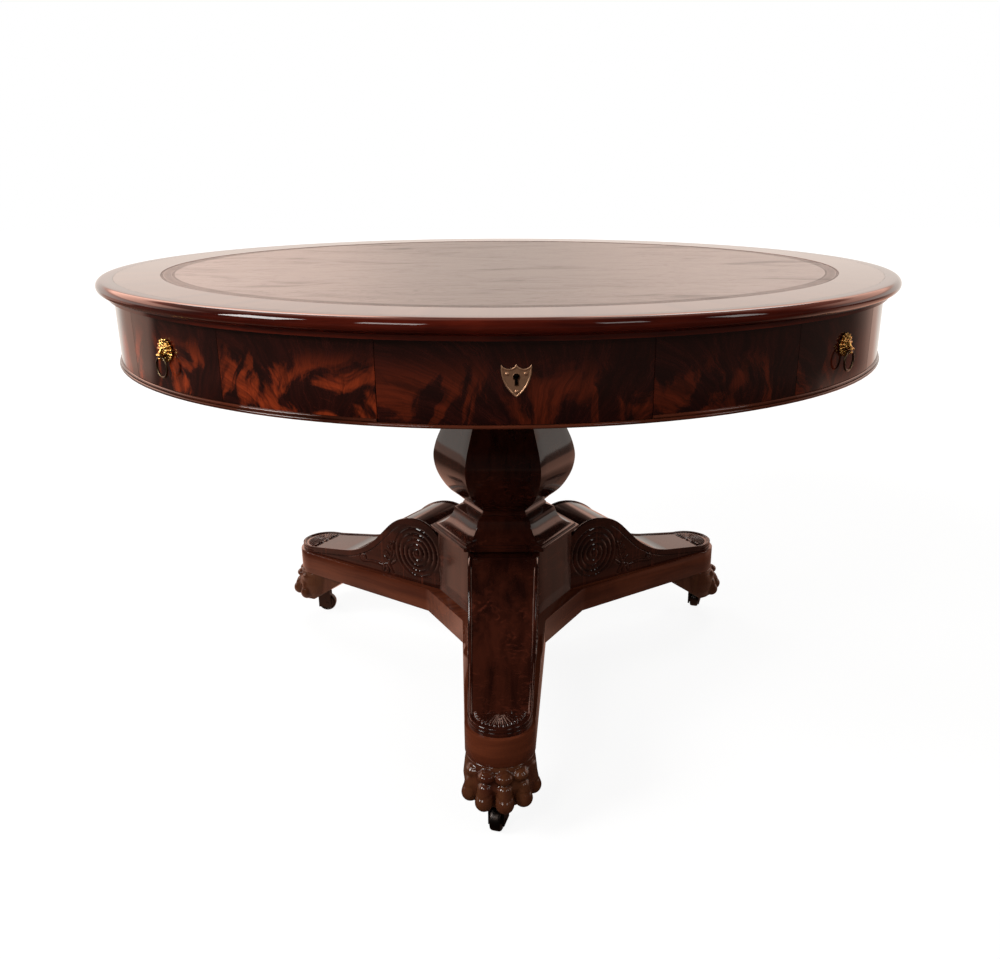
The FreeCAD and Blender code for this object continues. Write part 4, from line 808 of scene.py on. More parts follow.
class DRUMTABLE_OT_frieze(Piece, bpy.types.Operator):
    """Veneered drawer fronts and leaves, and the reeds under them"""
    bl_idname = "drumtable.frieze"
    bl_label = "Frieze"

    def make(self):
        for kind in ("lock", "ring"):
            fronts = ["%s_drawer_%d_front" % (kind, number) for number in range(1, 5)]
            finish_nodes(fronts, veneer_material(kind + " drawers"))
        finish_nodes(["frieze_panels"], veneer_material("leaves"))
        woods = settings("woods")
        reeds = wood_material("mahogany reeds", woods.solid_dark, woods.reed_red, "ring", waviness=0.01)
        finish_nodes(["frieze_beads"], reeds)


class DRUMTABLE_OT_drawers(Piece, bpy.types.Operator):
    """Oak drawer linings and the locks"""
    bl_idname = "drumtable.drawers"
    bl_label = "Drawers and locks"

    def make(self):
        woods = settings("woods")
        for number in range(1, 5):
            for kind, direction in (("lock", "y" if number % 2 else "x"), ("ring", "x")):
                oak = wood_material("drawer oak, grain " + direction, woods.oak_dark, woods.oak_light,
                                    direction, coated=False)
                finish_nodes(["%s_drawer_%d_carcase" % (kind, number)], oak)
        steel = metal_material("lock steel", settings("metals").steel, 0.42, 0.8)
        finish_nodes(["lock_drawer_%d_lock" % number for number in range(1, 5)], steel)


def shield_outline():
    """Outline of the keyhole shield about the keyhole: sideways and up."""
    half, rise, drop, scoop = 16.4, 13.8, 22.6, 5.0
    radius = ((half / 2) ** 2 + scoop ** 2) / (2 * scoop)
    reach = math.degrees(math.asin(half / 2 / radius))
    outline = []
    for sign in (1, -1):
        centre = (sign * half / 2, rise - scoop + radius)
        outline += arc_points(centre, radius, reach - 90, -reach - 90, 24).tolist()
    # Each side is an arc from the tip at the foot to the upper corner
    middle = -22.0
    bow = (middle ** 2 - (half - middle) ** 2 + drop ** 2 - rise ** 2) / (-2 * (drop + rise))
    low = math.degrees(math.atan2(-drop - bow, -middle))
    high = math.degrees(math.atan2(rise - bow, half - middle))
    side = arc_points((middle, bow), math.hypot(middle, -drop - bow), low, high, 48)
    return np.array(outline + (side[::-1] * [-1, 1]).tolist() + side.tolist())


def outline_distance(across, up, outline):
    """Distance to a closed outline, negative inside it."""
    best = np.full(across.shape, 1e9)
    inside = np.zeros(across.shape, bool)
    for start, end in zip(outline, np.roll(outline, -1, axis=0)):
        if math.dist(start, end) < 1e-6:
            continue
        best = np.minimum(best, segment_distance(across, up, start, end)[0])
        if start[1] != end[1]:
            lean = (end[0] - start[0]) / (end[1] - start[1])
            inside ^= ((start[1] > up) != (end[1] > up)) & (across < lean * (up - start[1]) + start[0])
    return np.where(inside, -1, 1) * best


def keyhole_field(across, up):
    """Distance to the keyhole's round and slot, negative inside them."""
    slot = np.maximum(np.abs(across) - 1.4, np.maximum(up, -9 - up))
    return np.minimum(np.hypot(across, up) - 3.2, slot)


class DRUMTABLE_OT_shields(Piece, bpy.types.Operator):
    """Brass keyhole shields with a bright raised edge and three pins"""
    bl_idname = "drumtable.shields"
    bl_label = "Keyhole shields"

    def make(self):
        step = 0.24
        low = (-0.6, -18.0, -24.2)
        grid = sample_grid(low, (2.6, 18.0, 15.4), step)
        out, across, up = grid
        flat = outline_distance(across[0], up[0], shield_outline())[None]
        # Plate with a raised rim: the height depends on the distance from the outline
        body = np.maximum(out - 0.75 - 0.6 * rounded((-flat - 0.95) / 0.95), flat)
        for side, rise in ((9.9, 3.4), (-9.9, 3.4), (0, -16.0)):
            body = np.minimum(body, ellipsoid(grid, (0.7, side, rise), (1.5, 2.0, 2.0)))
        keyhole = keyhole_field(across, up)
        liner = np.maximum(keyhole - 0.9, out - 1.25)
        body = np.maximum(np.maximum(np.minimum(body, liner), -out), -keyhole)
        points, quads = net_surface(body, low, step)
        out, across, up = points.T
        # Hollow for painted shade: full in the keyhole's walls and the crevices, and a little on the flat
        # plate, which is left darker than its raised rim
        inset = -outline_distance(across, up, shield_outline())
        plate = ramp((inset - 1.2) / 0.8) * ramp((1.1 - out) / 0.25)
        hole = ramp((1.0 - keyhole_field(across, up)) / 0.2)
        hollow = np.maximum(np.maximum(plate * 0.15, hole), field_hollow(points, quads, 0.22, 8))
        points = points + [FRONT_RADIUS + SEAT, 0, KEYHOLE_HEIGHT]
        brass = metal_material("lacquered brass", settings("metals").brass, 0.42, 0.3, 0.85)
        for number in range(1, 5):
            drawer = "lock_drawer_%d" % number
            new_piece("keyhole_shield_%d" % number, turned(points, 90 * (number - 1)), quads, drawer, brass,
                      [drawer + "_escutcheon"], 50, hollow=hollow)


def lion_field(grid):
    """Lion's mask: outwards, sideways and up from its middle, in millimetres."""
    full = grid
    grid = (grid[0] / MASK_RELIEF, grid[1] / MASK_SPREAD, grid[2])
    out, side, up = grid
    field = np.maximum(np.hypot(side, up) - 12.6, np.abs(out - 0.9) - 0.9)
    # Two rings of curls make the mane
    for count, radius, lift, size, turn in ((15, 12.3, 1.9, (1.7, 3.1, 1.75), 0.5),
                                            (13, 9.2, 3.1, (1.9, 3.0, 1.6), 0.0)):
        for index in range(count):
            angle = math.pi / 2 + 2 * math.pi * (index + turn) / count
            lean_side, lean_up = math.cos(angle + 0.16), math.sin(angle + 0.16)
            from_side, from_up = side - radius * math.cos(angle), up - radius * math.sin(angle)
            along = from_side * lean_side + from_up * lean_up
            beside = from_up * lean_side - from_side * lean_up
            beside = beside + 0.054 * along ** 2 * (1 if index % 2 else -1)
            lock = ellipsoid((out, along, beside), (lift, 0, 0), size)
            field = soft_union(field, lock - 0.11 * np.cos(beside * 4.2), 0.35)
    face = ellipsoid(grid, (1.5, 0, 0.2), (4.6, 6.9, 8.4))
    for sign in (-1, 1):
        face = soft_union(face, ellipsoid(grid, (4.3, sign * 4.7, -2.6), (2.3, 2.5, 3.2)), 1.0)
        face = soft_union(face, capsule(grid, (5.6, sign * 1.5, 3.4), 1.35, (4.4, sign * 5.0, 4.3), 0.9), 0.7)
        face = soft_cut(face, ellipsoid(grid, (6.0, sign * 3.2, 1.5), (1.7, 1.9, 1.25)), 0.5)
        face = soft_union(face, ellipsoid(grid, (4.7, sign * 3.1, 1.5), (1.15, 1.3, 0.95)), 0.2)
        ear = ellipsoid(grid, (3.4, sign * 6.6, 6.6), (1.7, 1.9, 1.9))
        ear = soft_cut(ear, ellipsoid(grid, (5.0, sign * 6.3, 6.3), (1.5, 1.0, 1.0)), 0.4)
        face = soft_union(face, ear, 0.5)
    face = soft_union(face, capsule(grid, (5.0, 0, 4.8), 1.5, (8.2, 0, -1.9), 1.75), 1.0)
    face = soft_union(face, ellipsoid(grid, (9.1, 0, -2.7), (1.7, 2.5, 1.25)), 0.5)
    for sign in (-1, 1):
        face = soft_cut(face, ellipsoid(grid, (10.6, sign * 1.3, -3.0), (0.8, 0.7, 0.45)), 0.2)
        face = soft_union(face, ellipsoid(grid, (8.0, sign * 2.2, -5.0), (3.9, 2.9, 2.35)), 0.7)
    face = soft_union(face, ellipsoid(grid, (7.2, 0, -9.4), (3.9, 3.4, 2.3)), 1.0)
    face = soft_cut(face, capsule(grid, (12.4, 0, -3.6), 0.35, (11.9, 0, -6.0), 0.35), 0.25)
    field = soft_union(field, face, 0.8)
    # The ring passes through the mouth, and swings in it
    out, side, up = full
    bow = RING_RADIUS - np.sqrt(RING_RADIUS ** 2 - np.minimum(side ** 2, 81))
    field = soft_cut(field, np.hypot(out - RING_STAND, up + RING_DROP) - (1.85 + bow), 0.25)
    mouth = np.maximum(np.maximum(np.abs(up + RING_DROP) - 0.55, 6.0 - out), np.abs(side) - 4.2)
    return soft_cut(field, mouth, 0.3)


class DRUMTABLE_OT_masks(Piece, bpy.types.Operator):
    """Gilt lion masks with a ring through each mouth"""
    bl_idname = "drumtable.masks"
    bl_label = "Lion masks and rings"

    def make(self):
        metals = settings("metals")
        step = settings("carving").mask_grain / MM
        low = (-0.4, -19.2, -16.2)
        grid = sample_grid(low, (14.6, 19.2, 16.2), step)
        field = np.maximum(lion_field(grid), -grid[0])
        field = np.maximum(field, np.hypot(grid[1] / MASK_SPREAD, grid[2]) - 15.4)
        points, quads = net_surface(field, low, step)
        # Painted shade for the mask's recesses, laid on by the metal's finish
        hollow = field_hollow(points, quads, 0.45, 8)
        points = points + [FRONT_RADIUS + SEAT, 0, MASK_HEIGHT]
        gilt = metal_material("gilt brass", metals.gilt, 0.24, 0.3)
        bronze = metal_material("handled bronze", metals.bronze, 0.3, 0.4)
        # The ring is thinner at the top, where it hangs in the mouth
        turn = np.linspace(0, 2 * math.pi, 96, endpoint=False)
        around = np.linspace(0, 2 * math.pi, 20, endpoint=False)
        thick = 1.39 - 0.11 * np.cos(turn)
        reach = RING_RADIUS + np.outer(thick, np.cos(around))
        wire = np.stack([np.outer(thick, np.sin(around)), reach * np.sin(turn)[:, None],
                         reach * np.cos(turn)[:, None]], -1).reshape(-1, 3)
        wire = wire + [FRONT_RADIUS + RING_STAND, 0, MASK_HEIGHT - RING_DROP - RING_RADIUS]
        faces = looped_faces(len(turn), len(around), True)
        for number in range(1, 5):
            azimuth = 90 * number - 45
            body = "ring_drawer_%d" % number
            new_piece("lion_mask_%d" % number, turned(points, azimuth), quads, body, gilt,
                      [body + "_lion_mask"], 60, hollow=hollow)
            new_piece("pull_ring_%d" % number, turned(wire, azimuth), faces, "ring_%d" % number, bronze,
                      [body + "_ring"])


class DRUMTABLE_OT_pillar(Piece, bpy.types.Operator):
    """Bearer, baluster column, moulded cap and plinth"""
    bl_idname = "drumtable.pillar"
    bl_label = "Column and plinth"

    def make(self):
        shaft = smooth_line([(328, 69), (337.9, 81), (351.9, 99), (370.6, 113), (391.3, 122.5), (415.2, 126),
                             (439.4, 121), (461.2, 112), (481, 102.4), (516, 86), (548.7, 72), (579.3, 63.5),
                             (584, 62)], 90)
        cove = smooth_line([(285, 122), (287.6, 113), (293, 104), (301, 97), (309, 92.6), (317, 90)], 24)
        profiles = {
            "bearer_block": [(597.7, 148.5), (598.8, 150), (618.6, 150), (619.6, 149)],
            "plinth_block": [(LEG_FOOT, 121.6), (153.6, 122), (275.4, 122), (275.9, 121.6)],
            "column": [(323, 74.2), (323.6, 75), (327.3, 75), (328, 74.2)] + shaft[2:].tolist()
            + [(585, 70), (585.6, 71), (587.6, 72), (590.5, 84), (593.4, 96), (594.6, 103.4), (595.4, 104),
               (597.6, 104)],
            "plinth_cap": [(276, 134), (276.8, 135), (281.3, 135), (282, 134), (282.2, 129.4), (282.8, 129),
                           (284.4, 129), (285, 128)] + cove.tolist() + [(317.8, 89), (322.2, 77), (322.9, 75)],
        }
        for name, profile in profiles.items():
            points, faces, grain = hexagon_column(profile)
            new_piece(name.replace("_block", ""), points, faces, "base", dark_wood(), [name],
                      28, grain)
        finish_nodes(["pivot_spindle"], metal_material("pivot iron", settings("metals").iron, 0.4, 0.5))


def round_ended_plan(start, start_half, end, radius, straight, curved):
    """Plan points and outward normals of one side of an arm, from its root to its tip."""
    lean = math.atan2(start_half - radius, end - start)
    along = np.linspace(start, end, straight)
    half = np.linspace(start_half, radius, straight)
    points = np.stack([along, half], 1)
    normals = np.tile([math.sin(lean), math.cos(lean)], (straight, 1))
    angles = np.linspace(0, QUARTER, curved + 1)[1:]
    ends = np.stack([end + radius * np.sin(angles), radius * np.cos(angles)], 1)
    return np.vstack([points, ends]), np.vstack([normals, np.stack([np.sin(angles), np.cos(angles)], 1)])


class DRUMTABLE_OT_platform(Piece, bpy.types.Operator):
    """Three-armed platform faced with mahogany"""
    bl_idname = "drumtable.platform"
    bl_label = "Platform"

    def make(self):
        woods = settings("woods")
        wood = wood_material("platform facing", woods.band_dark, woods.band_red, "attribute", waviness=0.02)
        side, _ = round_ended_plan(125.6, 72.6, TOE_CENTRE, 51, 40, 24)
        arm = np.vstack([side, side[:-1][::-1] * [1, -1]])
        length = np.concatenate([[0], np.cumsum(np.hypot(*np.diff(arm, axis=0).T))])
        flat = np.hstack([arm[::-1], np.zeros((len(arm), 1))])
        outline = np.vstack([turned(flat, azimuth)[:, :2] for azimuth in LEG_AZIMUTHS.values()])
        grain = np.concatenate([length + azimuth * 7 for azimuth in LEG_AZIMUTHS.values()])
        ahead = np.roll(outline, -1, axis=0) - np.roll(outline, 1, axis=0)
        normal = np.stack([ahead[:, 1], -ahead[:, 0]], 1) / np.linalg.norm(ahead, axis=1)[:, None]
        rows = [(108, -1.2), (108.35, -0.35), (109.2, 0), (151.8, 0), (152.65, -0.35), (153, -1.2)]
        points = np.vstack([np.hstack([outline + normal * inset, np.full((len(outline), 1), height)])
                            for height, inset in rows])
        grains = np.array([(place, height, 0.0) for height, _ in rows for place in grain])
        new_piece("platform", points, capped_faces(len(rows), len(outline)), "base", wood,
                  ["base_platform"], 30, grains)


def leg_top_line():
    """Upper outline of a leg: distance from the axis and height."""
    scroll = arc_points(SCROLL_CENTRE, SCROLL_RADIUS, 140.2, 90, 40)
    shoulder = arc_points((158, 185), 96, 90, 45, 40)
    hollow = arc_points((373, 342), 167, 225, 262, 60)
    toe = [(380, 172.4), (410, 168.2), (426, 166), (434, 165.2), (445, 165), (486, 165)]
    rise = math.sqrt(SCROLL_RADIUS ** 2 - (SCROLL_CENTRE[0] - LEG_ROOT) ** 2)
    line = np.vstack([[(LEG_ROOT, SCROLL_CENTRE[1] + rise)], scroll[1:], shoulder[1:], hollow, toe])
    return line[np.argsort(line[:, 0])]


def carved_side(along, up, edge):
    """Relief on a leg's side and how deep it lies: along and up in millimetres, edge from the upper outline."""
    carving = settings("carving")
    # Scroll of reeds that wind out from a boss
    x, z = along - SCROLL_CENTRE[0], up - SCROLL_CENTRE[1]
    radius = np.hypot(x, z)
    reed = reeded(radius * carving.scroll_turns / 53 + np.arctan2(z, x) / (2 * math.pi))
    boss = ramp((5.5 - radius) / 1.5)
    reed = reed * (1 - boss) + rounded(radius / 5.5) * boss
    scroll = (1 - reed) * ramp((REEDED_RADIUS - radius) / 1.5)
    ground = np.where(radius < REEDED_RADIUS, 0, 1.0)
    # Groove that follows the upper outline from the toe to the scroll
    line = ramp(1 - np.abs(edge - 11) / 1.3) * ground * ramp((up - 154.5) / 2) * ramp((along - 196) / 8)
    # Leaf spray between the scroll and the slope
    spray = np.full(along.shape, 9.0)
    veins = np.full(along.shape, 9.0)
    for x0, z0, x1, z1, r0, r1 in LEAF_LOBES:
        away, share = segment_distance(along, up, (x0, z0), (x1, z1))
        spray = np.minimum(spray, away - (r0 + (r1 - r0) * share) * np.sin(share * QUARTER + 0.6))
        veins = np.minimum(veins, away)
    stem = np.full(along.shape, 99.0)
    for place in np.linspace(232, 292, 40):
        rise = 169 + 3.4 * math.sin((place - 232) / 60 * math.pi)
        stem = np.minimum(stem, np.hypot(along - place, up - rise))
    x, z = along - 292, up - 176
    curl = np.hypot(x, z)
    knot = reeded(curl / 3.4 - np.arctan2(z, x) / (2 * math.pi)) * ramp((8 - curl) / 1.2)
    leaf = np.sqrt(ramp(-spray / 2.2)) - 0.4 * ramp(1 - veins / 0.7) * (spray < 0)
    raised = np.maximum(leaf, 0.8 * np.maximum(rounded(stem / 1.8), knot)) * ground
    bounds = np.minimum(np.abs(spray - 0.7), np.minimum(np.abs(stem - 2.5), np.abs(curl - 8.8)))
    sunk = ramp(1 - bounds / 1.2) * ground * (raised <= 0.02)
    relief = (0.75 * carving.leaf_height * raised - carving.scroll_depth * scroll) / MM
    return relief - 1.5 * np.sqrt(line) - 0.9 * sunk, ramp(scroll * 1.1 + (line + sunk) * 0.7)


def carved_top(along, across, border):
    """Relief on a leg's upper face and how deep it lies: a sunk panel between beads, and a fan on the toe."""
    carving = settings("carving")
    relief = 0.9 * ramp(1 - border) + 1.25 * rounded((border - 3.4) / 2.0) - 0.9
    relief = relief - 0.9 * ramp((border - 5.6) / 0.8)
    size, ahead = 37.5, along - 431
    radius = np.hypot(ahead, across)
    petal = reeded((np.arctan2(across, ahead) / math.pi + 0.5) * carving.fan_petals)
    swell = ramp(radius / 12.0)
    tip = np.sqrt(ramp((size * (0.9 + 0.1 * petal) - radius) / 3.6)) * (0.55 + 0.45 * ramp(radius / size))
    fan = carving.fan_height / MM * np.maximum((0.12 + 0.88 * petal * swell) * tip, 0.8 * rounded(radius / 6.0))
    on_fan = (ahead > 0) & (radius < size)
    edge = ramp(ahead / 1.2)
    relief = np.where(on_fan, relief * (1 - edge) + (fan - 2.0) * edge, relief)
    relief = relief - 0.5 * ramp(1 - np.abs(ahead + 1.2)) * (border > 5)
    # How deep each point lies, for the painted shade in the grooves between the petals, beside the sunk panel
    # and along the outer edge
    hollow = np.where(on_fan, (1 - petal) * swell * 0.95, 0) + 0.8 * ramp(1 - np.abs(border - 5.9) / 1.1)
    hollow = hollow + 0.5 * ramp(1 - np.abs(border - 1.0) / 0.8)
    fade = ramp((along - 112) / 8)
    return relief * fade, ramp(hollow) * fade


def leg_mesh():
    """Carved leg facing +X: points, faces and hollows."""
    line = leg_top_line()
    plan, normals = round_ended_plan(LEG_ROOT, LEG_ROOT_HALF, TOE_CENTRE, TOE_RADIUS, 228, 68)
    heights = np.interp(plan[:, 0], line[:, 0], line[:, 1])
    slope = np.gradient(heights, plan[:, 0] + np.arange(len(plan)) * 1e-9)
    slope = np.where(plan[:, 0] > TOE_CENTRE, 0, np.nan_to_num(slope))
    side_rows, top_columns = 84, 108
    levels = np.linspace(0, 1, side_rows) ** 0.9
    tall = heights[:, None] - LEG_FOOT
    up = LEG_FOOT + levels * tall
    along = np.repeat(plan[:, :1], side_rows, 1)
    edge = np.full(up.shape, 1e9)
    for start, end in zip(line[:-1], line[1:]):
        edge = np.minimum(edge, segment_distance(along, up, start, end)[0])
    relief, hollow = carved_side(np.minimum(along, TOE_CENTRE), up, edge)
    # Reeds round the toe. All carving dies away at the foot and at the upper arris.
    toe = ramp((along - 424) / 10)
    reed = reeded((up - LEG_FOOT) / 5.95)
    calm = ramp(levels * tall / 1.5) * ramp((1 - levels) * tall / 1.5)
    relief = (relief * (1 - toe) - 1.1 * (1 - reed) * toe) * calm
    # The hollows of the carving and between the reeds are darkened by the wood's finish as painted shade
    hollow = (hollow * (1 - toe) + (1 - reed) * toe) * calm
    one = np.stack([plan[:, :1] + relief * normals[:, :1], plan[:, 1:] + relief * normals[:, 1:], up], -1)
    # Upper face, from one side to the other
    share = np.sin(np.linspace(QUARTER, -QUARTER, top_columns)) * 0.25 + np.linspace(1, -1, top_columns) * 0.75
    across = plan[:, 1:] * share
    along = np.repeat(plan[:, :1], top_columns, 1)
    half = LEG_ROOT_HALF + (along - LEG_ROOT) * (TOE_RADIUS - LEG_ROOT_HALF) / (TOE_CENTRE - LEG_ROOT)
    round_edge = TOE_RADIUS - np.hypot(along - TOE_CENTRE, across)
    border = np.where(along < TOE_CENTRE, half - np.abs(across), round_edge)
    relief, top_hollow = carved_top(along, across, border)
    relief = relief * ramp(border / 0.5)
    lift = 1 / np.sqrt(1 + slope[:, None] ** 2)
    top = np.stack([along - relief * slope[:, None] * lift, across, heights[:, None] + relief * lift], -1)
    points = np.concatenate([one, top[:, 1:-1], one[:, ::-1] * [1, -1, 1]], axis=1)
    hollows = np.concatenate([hollow, top_hollow[:, 1:-1], hollow[:, ::-1]], axis=1)
    rows, columns = hollows.shape
    faces = looped_faces(rows, columns)[:, ::-1].tolist() + [list(range(columns))]
    return points.reshape(-1, 3), faces, hollows.ravel()


class DRUMTABLE_OT_legs(Piece, bpy.types.Operator):
    """Scrolled legs with carved sides, beaded tops and a fan on each toe"""
    bl_idname = "drumtable.legs"
    bl_label = "Legs"

    def make(self):
        points, faces, hollow = leg_mesh()
        for number, (name, azimuth) in enumerate(LEG_AZIMUTHS.items()):
            new_piece("carved_leg_" + name, turned(points, azimuth), faces, "base", dark_wood(),
                      ["leg_" + name], 42, points + [number * 700, 0, 0], hollow)


def paw_field(grid):
    """Lion's paw facing +X: distance from the axis, sideways and up, in millimetres."""
    x, y, z = grid
    rise = (z - PAW_SOLE) / 58
    steps = (0, 0.2, 0.5, 0.78, 1)
    middle = np.interp(rise, steps, (448, 448, 447, 442, 436))
    length = np.interp(rise, steps, (41, 46, 48, 47, 48))
    width = np.interp(rise, steps, (46, 51, 53, 51, 49.6))
    field = (np.sqrt(((x - middle) / length) ** 2 + (y / width) ** 2) - 1) * 46
    crease = np.exp(-((z - 70 + 0.35 * (np.hypot(x - PAW_MIDDLE, y) - 60)) / 1.5) ** 2)
    toes = None
    for index in range(5):
        angle = math.radians(37 * (index - 2) + 9)
        ahead, aside = math.cos(angle), math.sin(angle)
        knuckle, upper, lower = ((PAW_MIDDLE + reach * ahead, spread * aside, height) for reach, spread, height
                                 in ((41, 39, 94.5), (45, 42.5, 75.5), (52.5, 46, 60)))
        pad = capsule(grid, upper, 11.6, lower, 13.2)
        toe = soft_union(ellipsoid(grid, knuckle, (12.8, 12.8, 9.4)), pad + 0.9 * crease, 1.0)
        toes = toe if toes is None else soft_union(toes, toe, 0.6)
    field = soft_union(field, toes, 2.2)
    # Folds of skin above the knuckles
    for height, depth in ((100.5, 0.7), (104.2, 0.5)):
        fold = z - height - 1.3 * np.cos(y / 11) - 0.6 * np.sin(y / 5)
        field = field + depth * np.exp(-(fold / 1.1) ** 2) * ramp((x - 425) / 14)
    field = soft_union(field, np.maximum(np.abs(y) - 40, x - PAW_MIDDLE), 2.0)
    # The back is sawn off on a slope, and the sole is flat round the castor's plate
    slope = (350 - x) * 0.573 + (PAW_TOP - z) * 0.8195
    sole = np.where(np.hypot(x - CASTOR_RADIUS, y) < 27, PAW_SOLE - z, 45.6 - z)
    return np.maximum(field, np.maximum(np.maximum(slope, z - PAW_TOP), sole))


class DRUMTABLE_OT_paws(Piece, bpy.types.Operator):
    """Carved lion's paws under the platform"""
    bl_idname = "drumtable.paws"
    bl_label = "Paw feet"

    def make(self):
        step = settings("carving").paw_grain / MM
        low = (347, -64, 43)
        grid = sample_grid(low, (518, 64, 110), step)
        points, quads = net_surface(paw_field(grid), low, step)
        # Painted shade: the creases between the toes are darkened, 1.6 times as strongly as their depth gives
        hollow = field_hollow(points, quads, 1.3, 10) * 1.6
        woods = settings("woods")
        wood = wood_material("carved paws", woods.solid_red, woods.paw_red, "attribute", gloss=HANDLED_GLOSS)
        for name, azimuth in LEG_AZIMUTHS.items():
            new_piece("paw_" + name, turned(points, azimuth), quads, "base", wood,
                      ["paw_feet"], 60, points[:, ::-1], hollow)


class DRUMTABLE_OT_castors(Piece, bpy.types.Operator):
    """Iron castors with turned wheels"""
    bl_idname = "drumtable.castors"
    bl_label = "Castors"

    def make(self):
        iron = metal_material("castor iron", settings("metals").iron, 0.36, 0.4)
        forks = ["castor_fork_%d" % number for number in (1, 2, 3)]
        finish_nodes(["castor_plates"] + forks, iron)
        soften(forks, 0.8)
        half = [(3.05, 8), (7, 8), (7.6, 7.4), (8.4, 6.6), (13.4, 6.6), (14.2, 7.4), (15.4, 8), (17, 7.2),
                (17.8, 5.6), (18, 3)]
        disc, faces = lathe(half + [(radius, -side) for radius, side in half[::-1]], 72)
        points = disc[:, [0, 2, 1]] + [AXLE_TRAIL, 0, AXLE_HEIGHT]
        for number, (azimuth, turn) in enumerate(zip(LEG_AZIMUTHS.values(), (-108, 70, 0)), 1):
            placed = turned(points, turn + 90) + turned([(CASTOR_RADIUS, 0, 0)], azimuth)
            new_piece("wheel_%d" % number, placed, faces, "wheel_%d" % number, iron,
                      ["castor_wheel_%d" % number])


def room_group():
    """Brightness of the far room that polished faces mirror, by its direction from the table."""
    def build(tree, source):
        x, y, _ = tree.split(source["Vector"])
        ahead = y / tree.math("MAXIMUM", abs(x), 0.02)
        side = tree.step(x, -0.05, 0.05)
        left = (tree.step(ahead, 0.30, 0.42, 0.0, 0.62) + tree.step(ahead, 0.9, 1.3, 0.0, 0.33)) * (1.0 - side)
        right = tree.step(ahead, 0.3, 1.0, 0.0, 0.9) * side
        strength = source["Dusk"] + (left + right) * source["Sheen"]
        return {"Strength": strength, "Pale": tree.step(ahead, 0.7, 1.25)}
    inputs = [("Vector", "Vector", None), ("Sheen", "Float", 1.0), ("Dusk", "Float", 0.1)]
    return node_group("mirrored room", inputs, ["Strength", "Pale"], build)


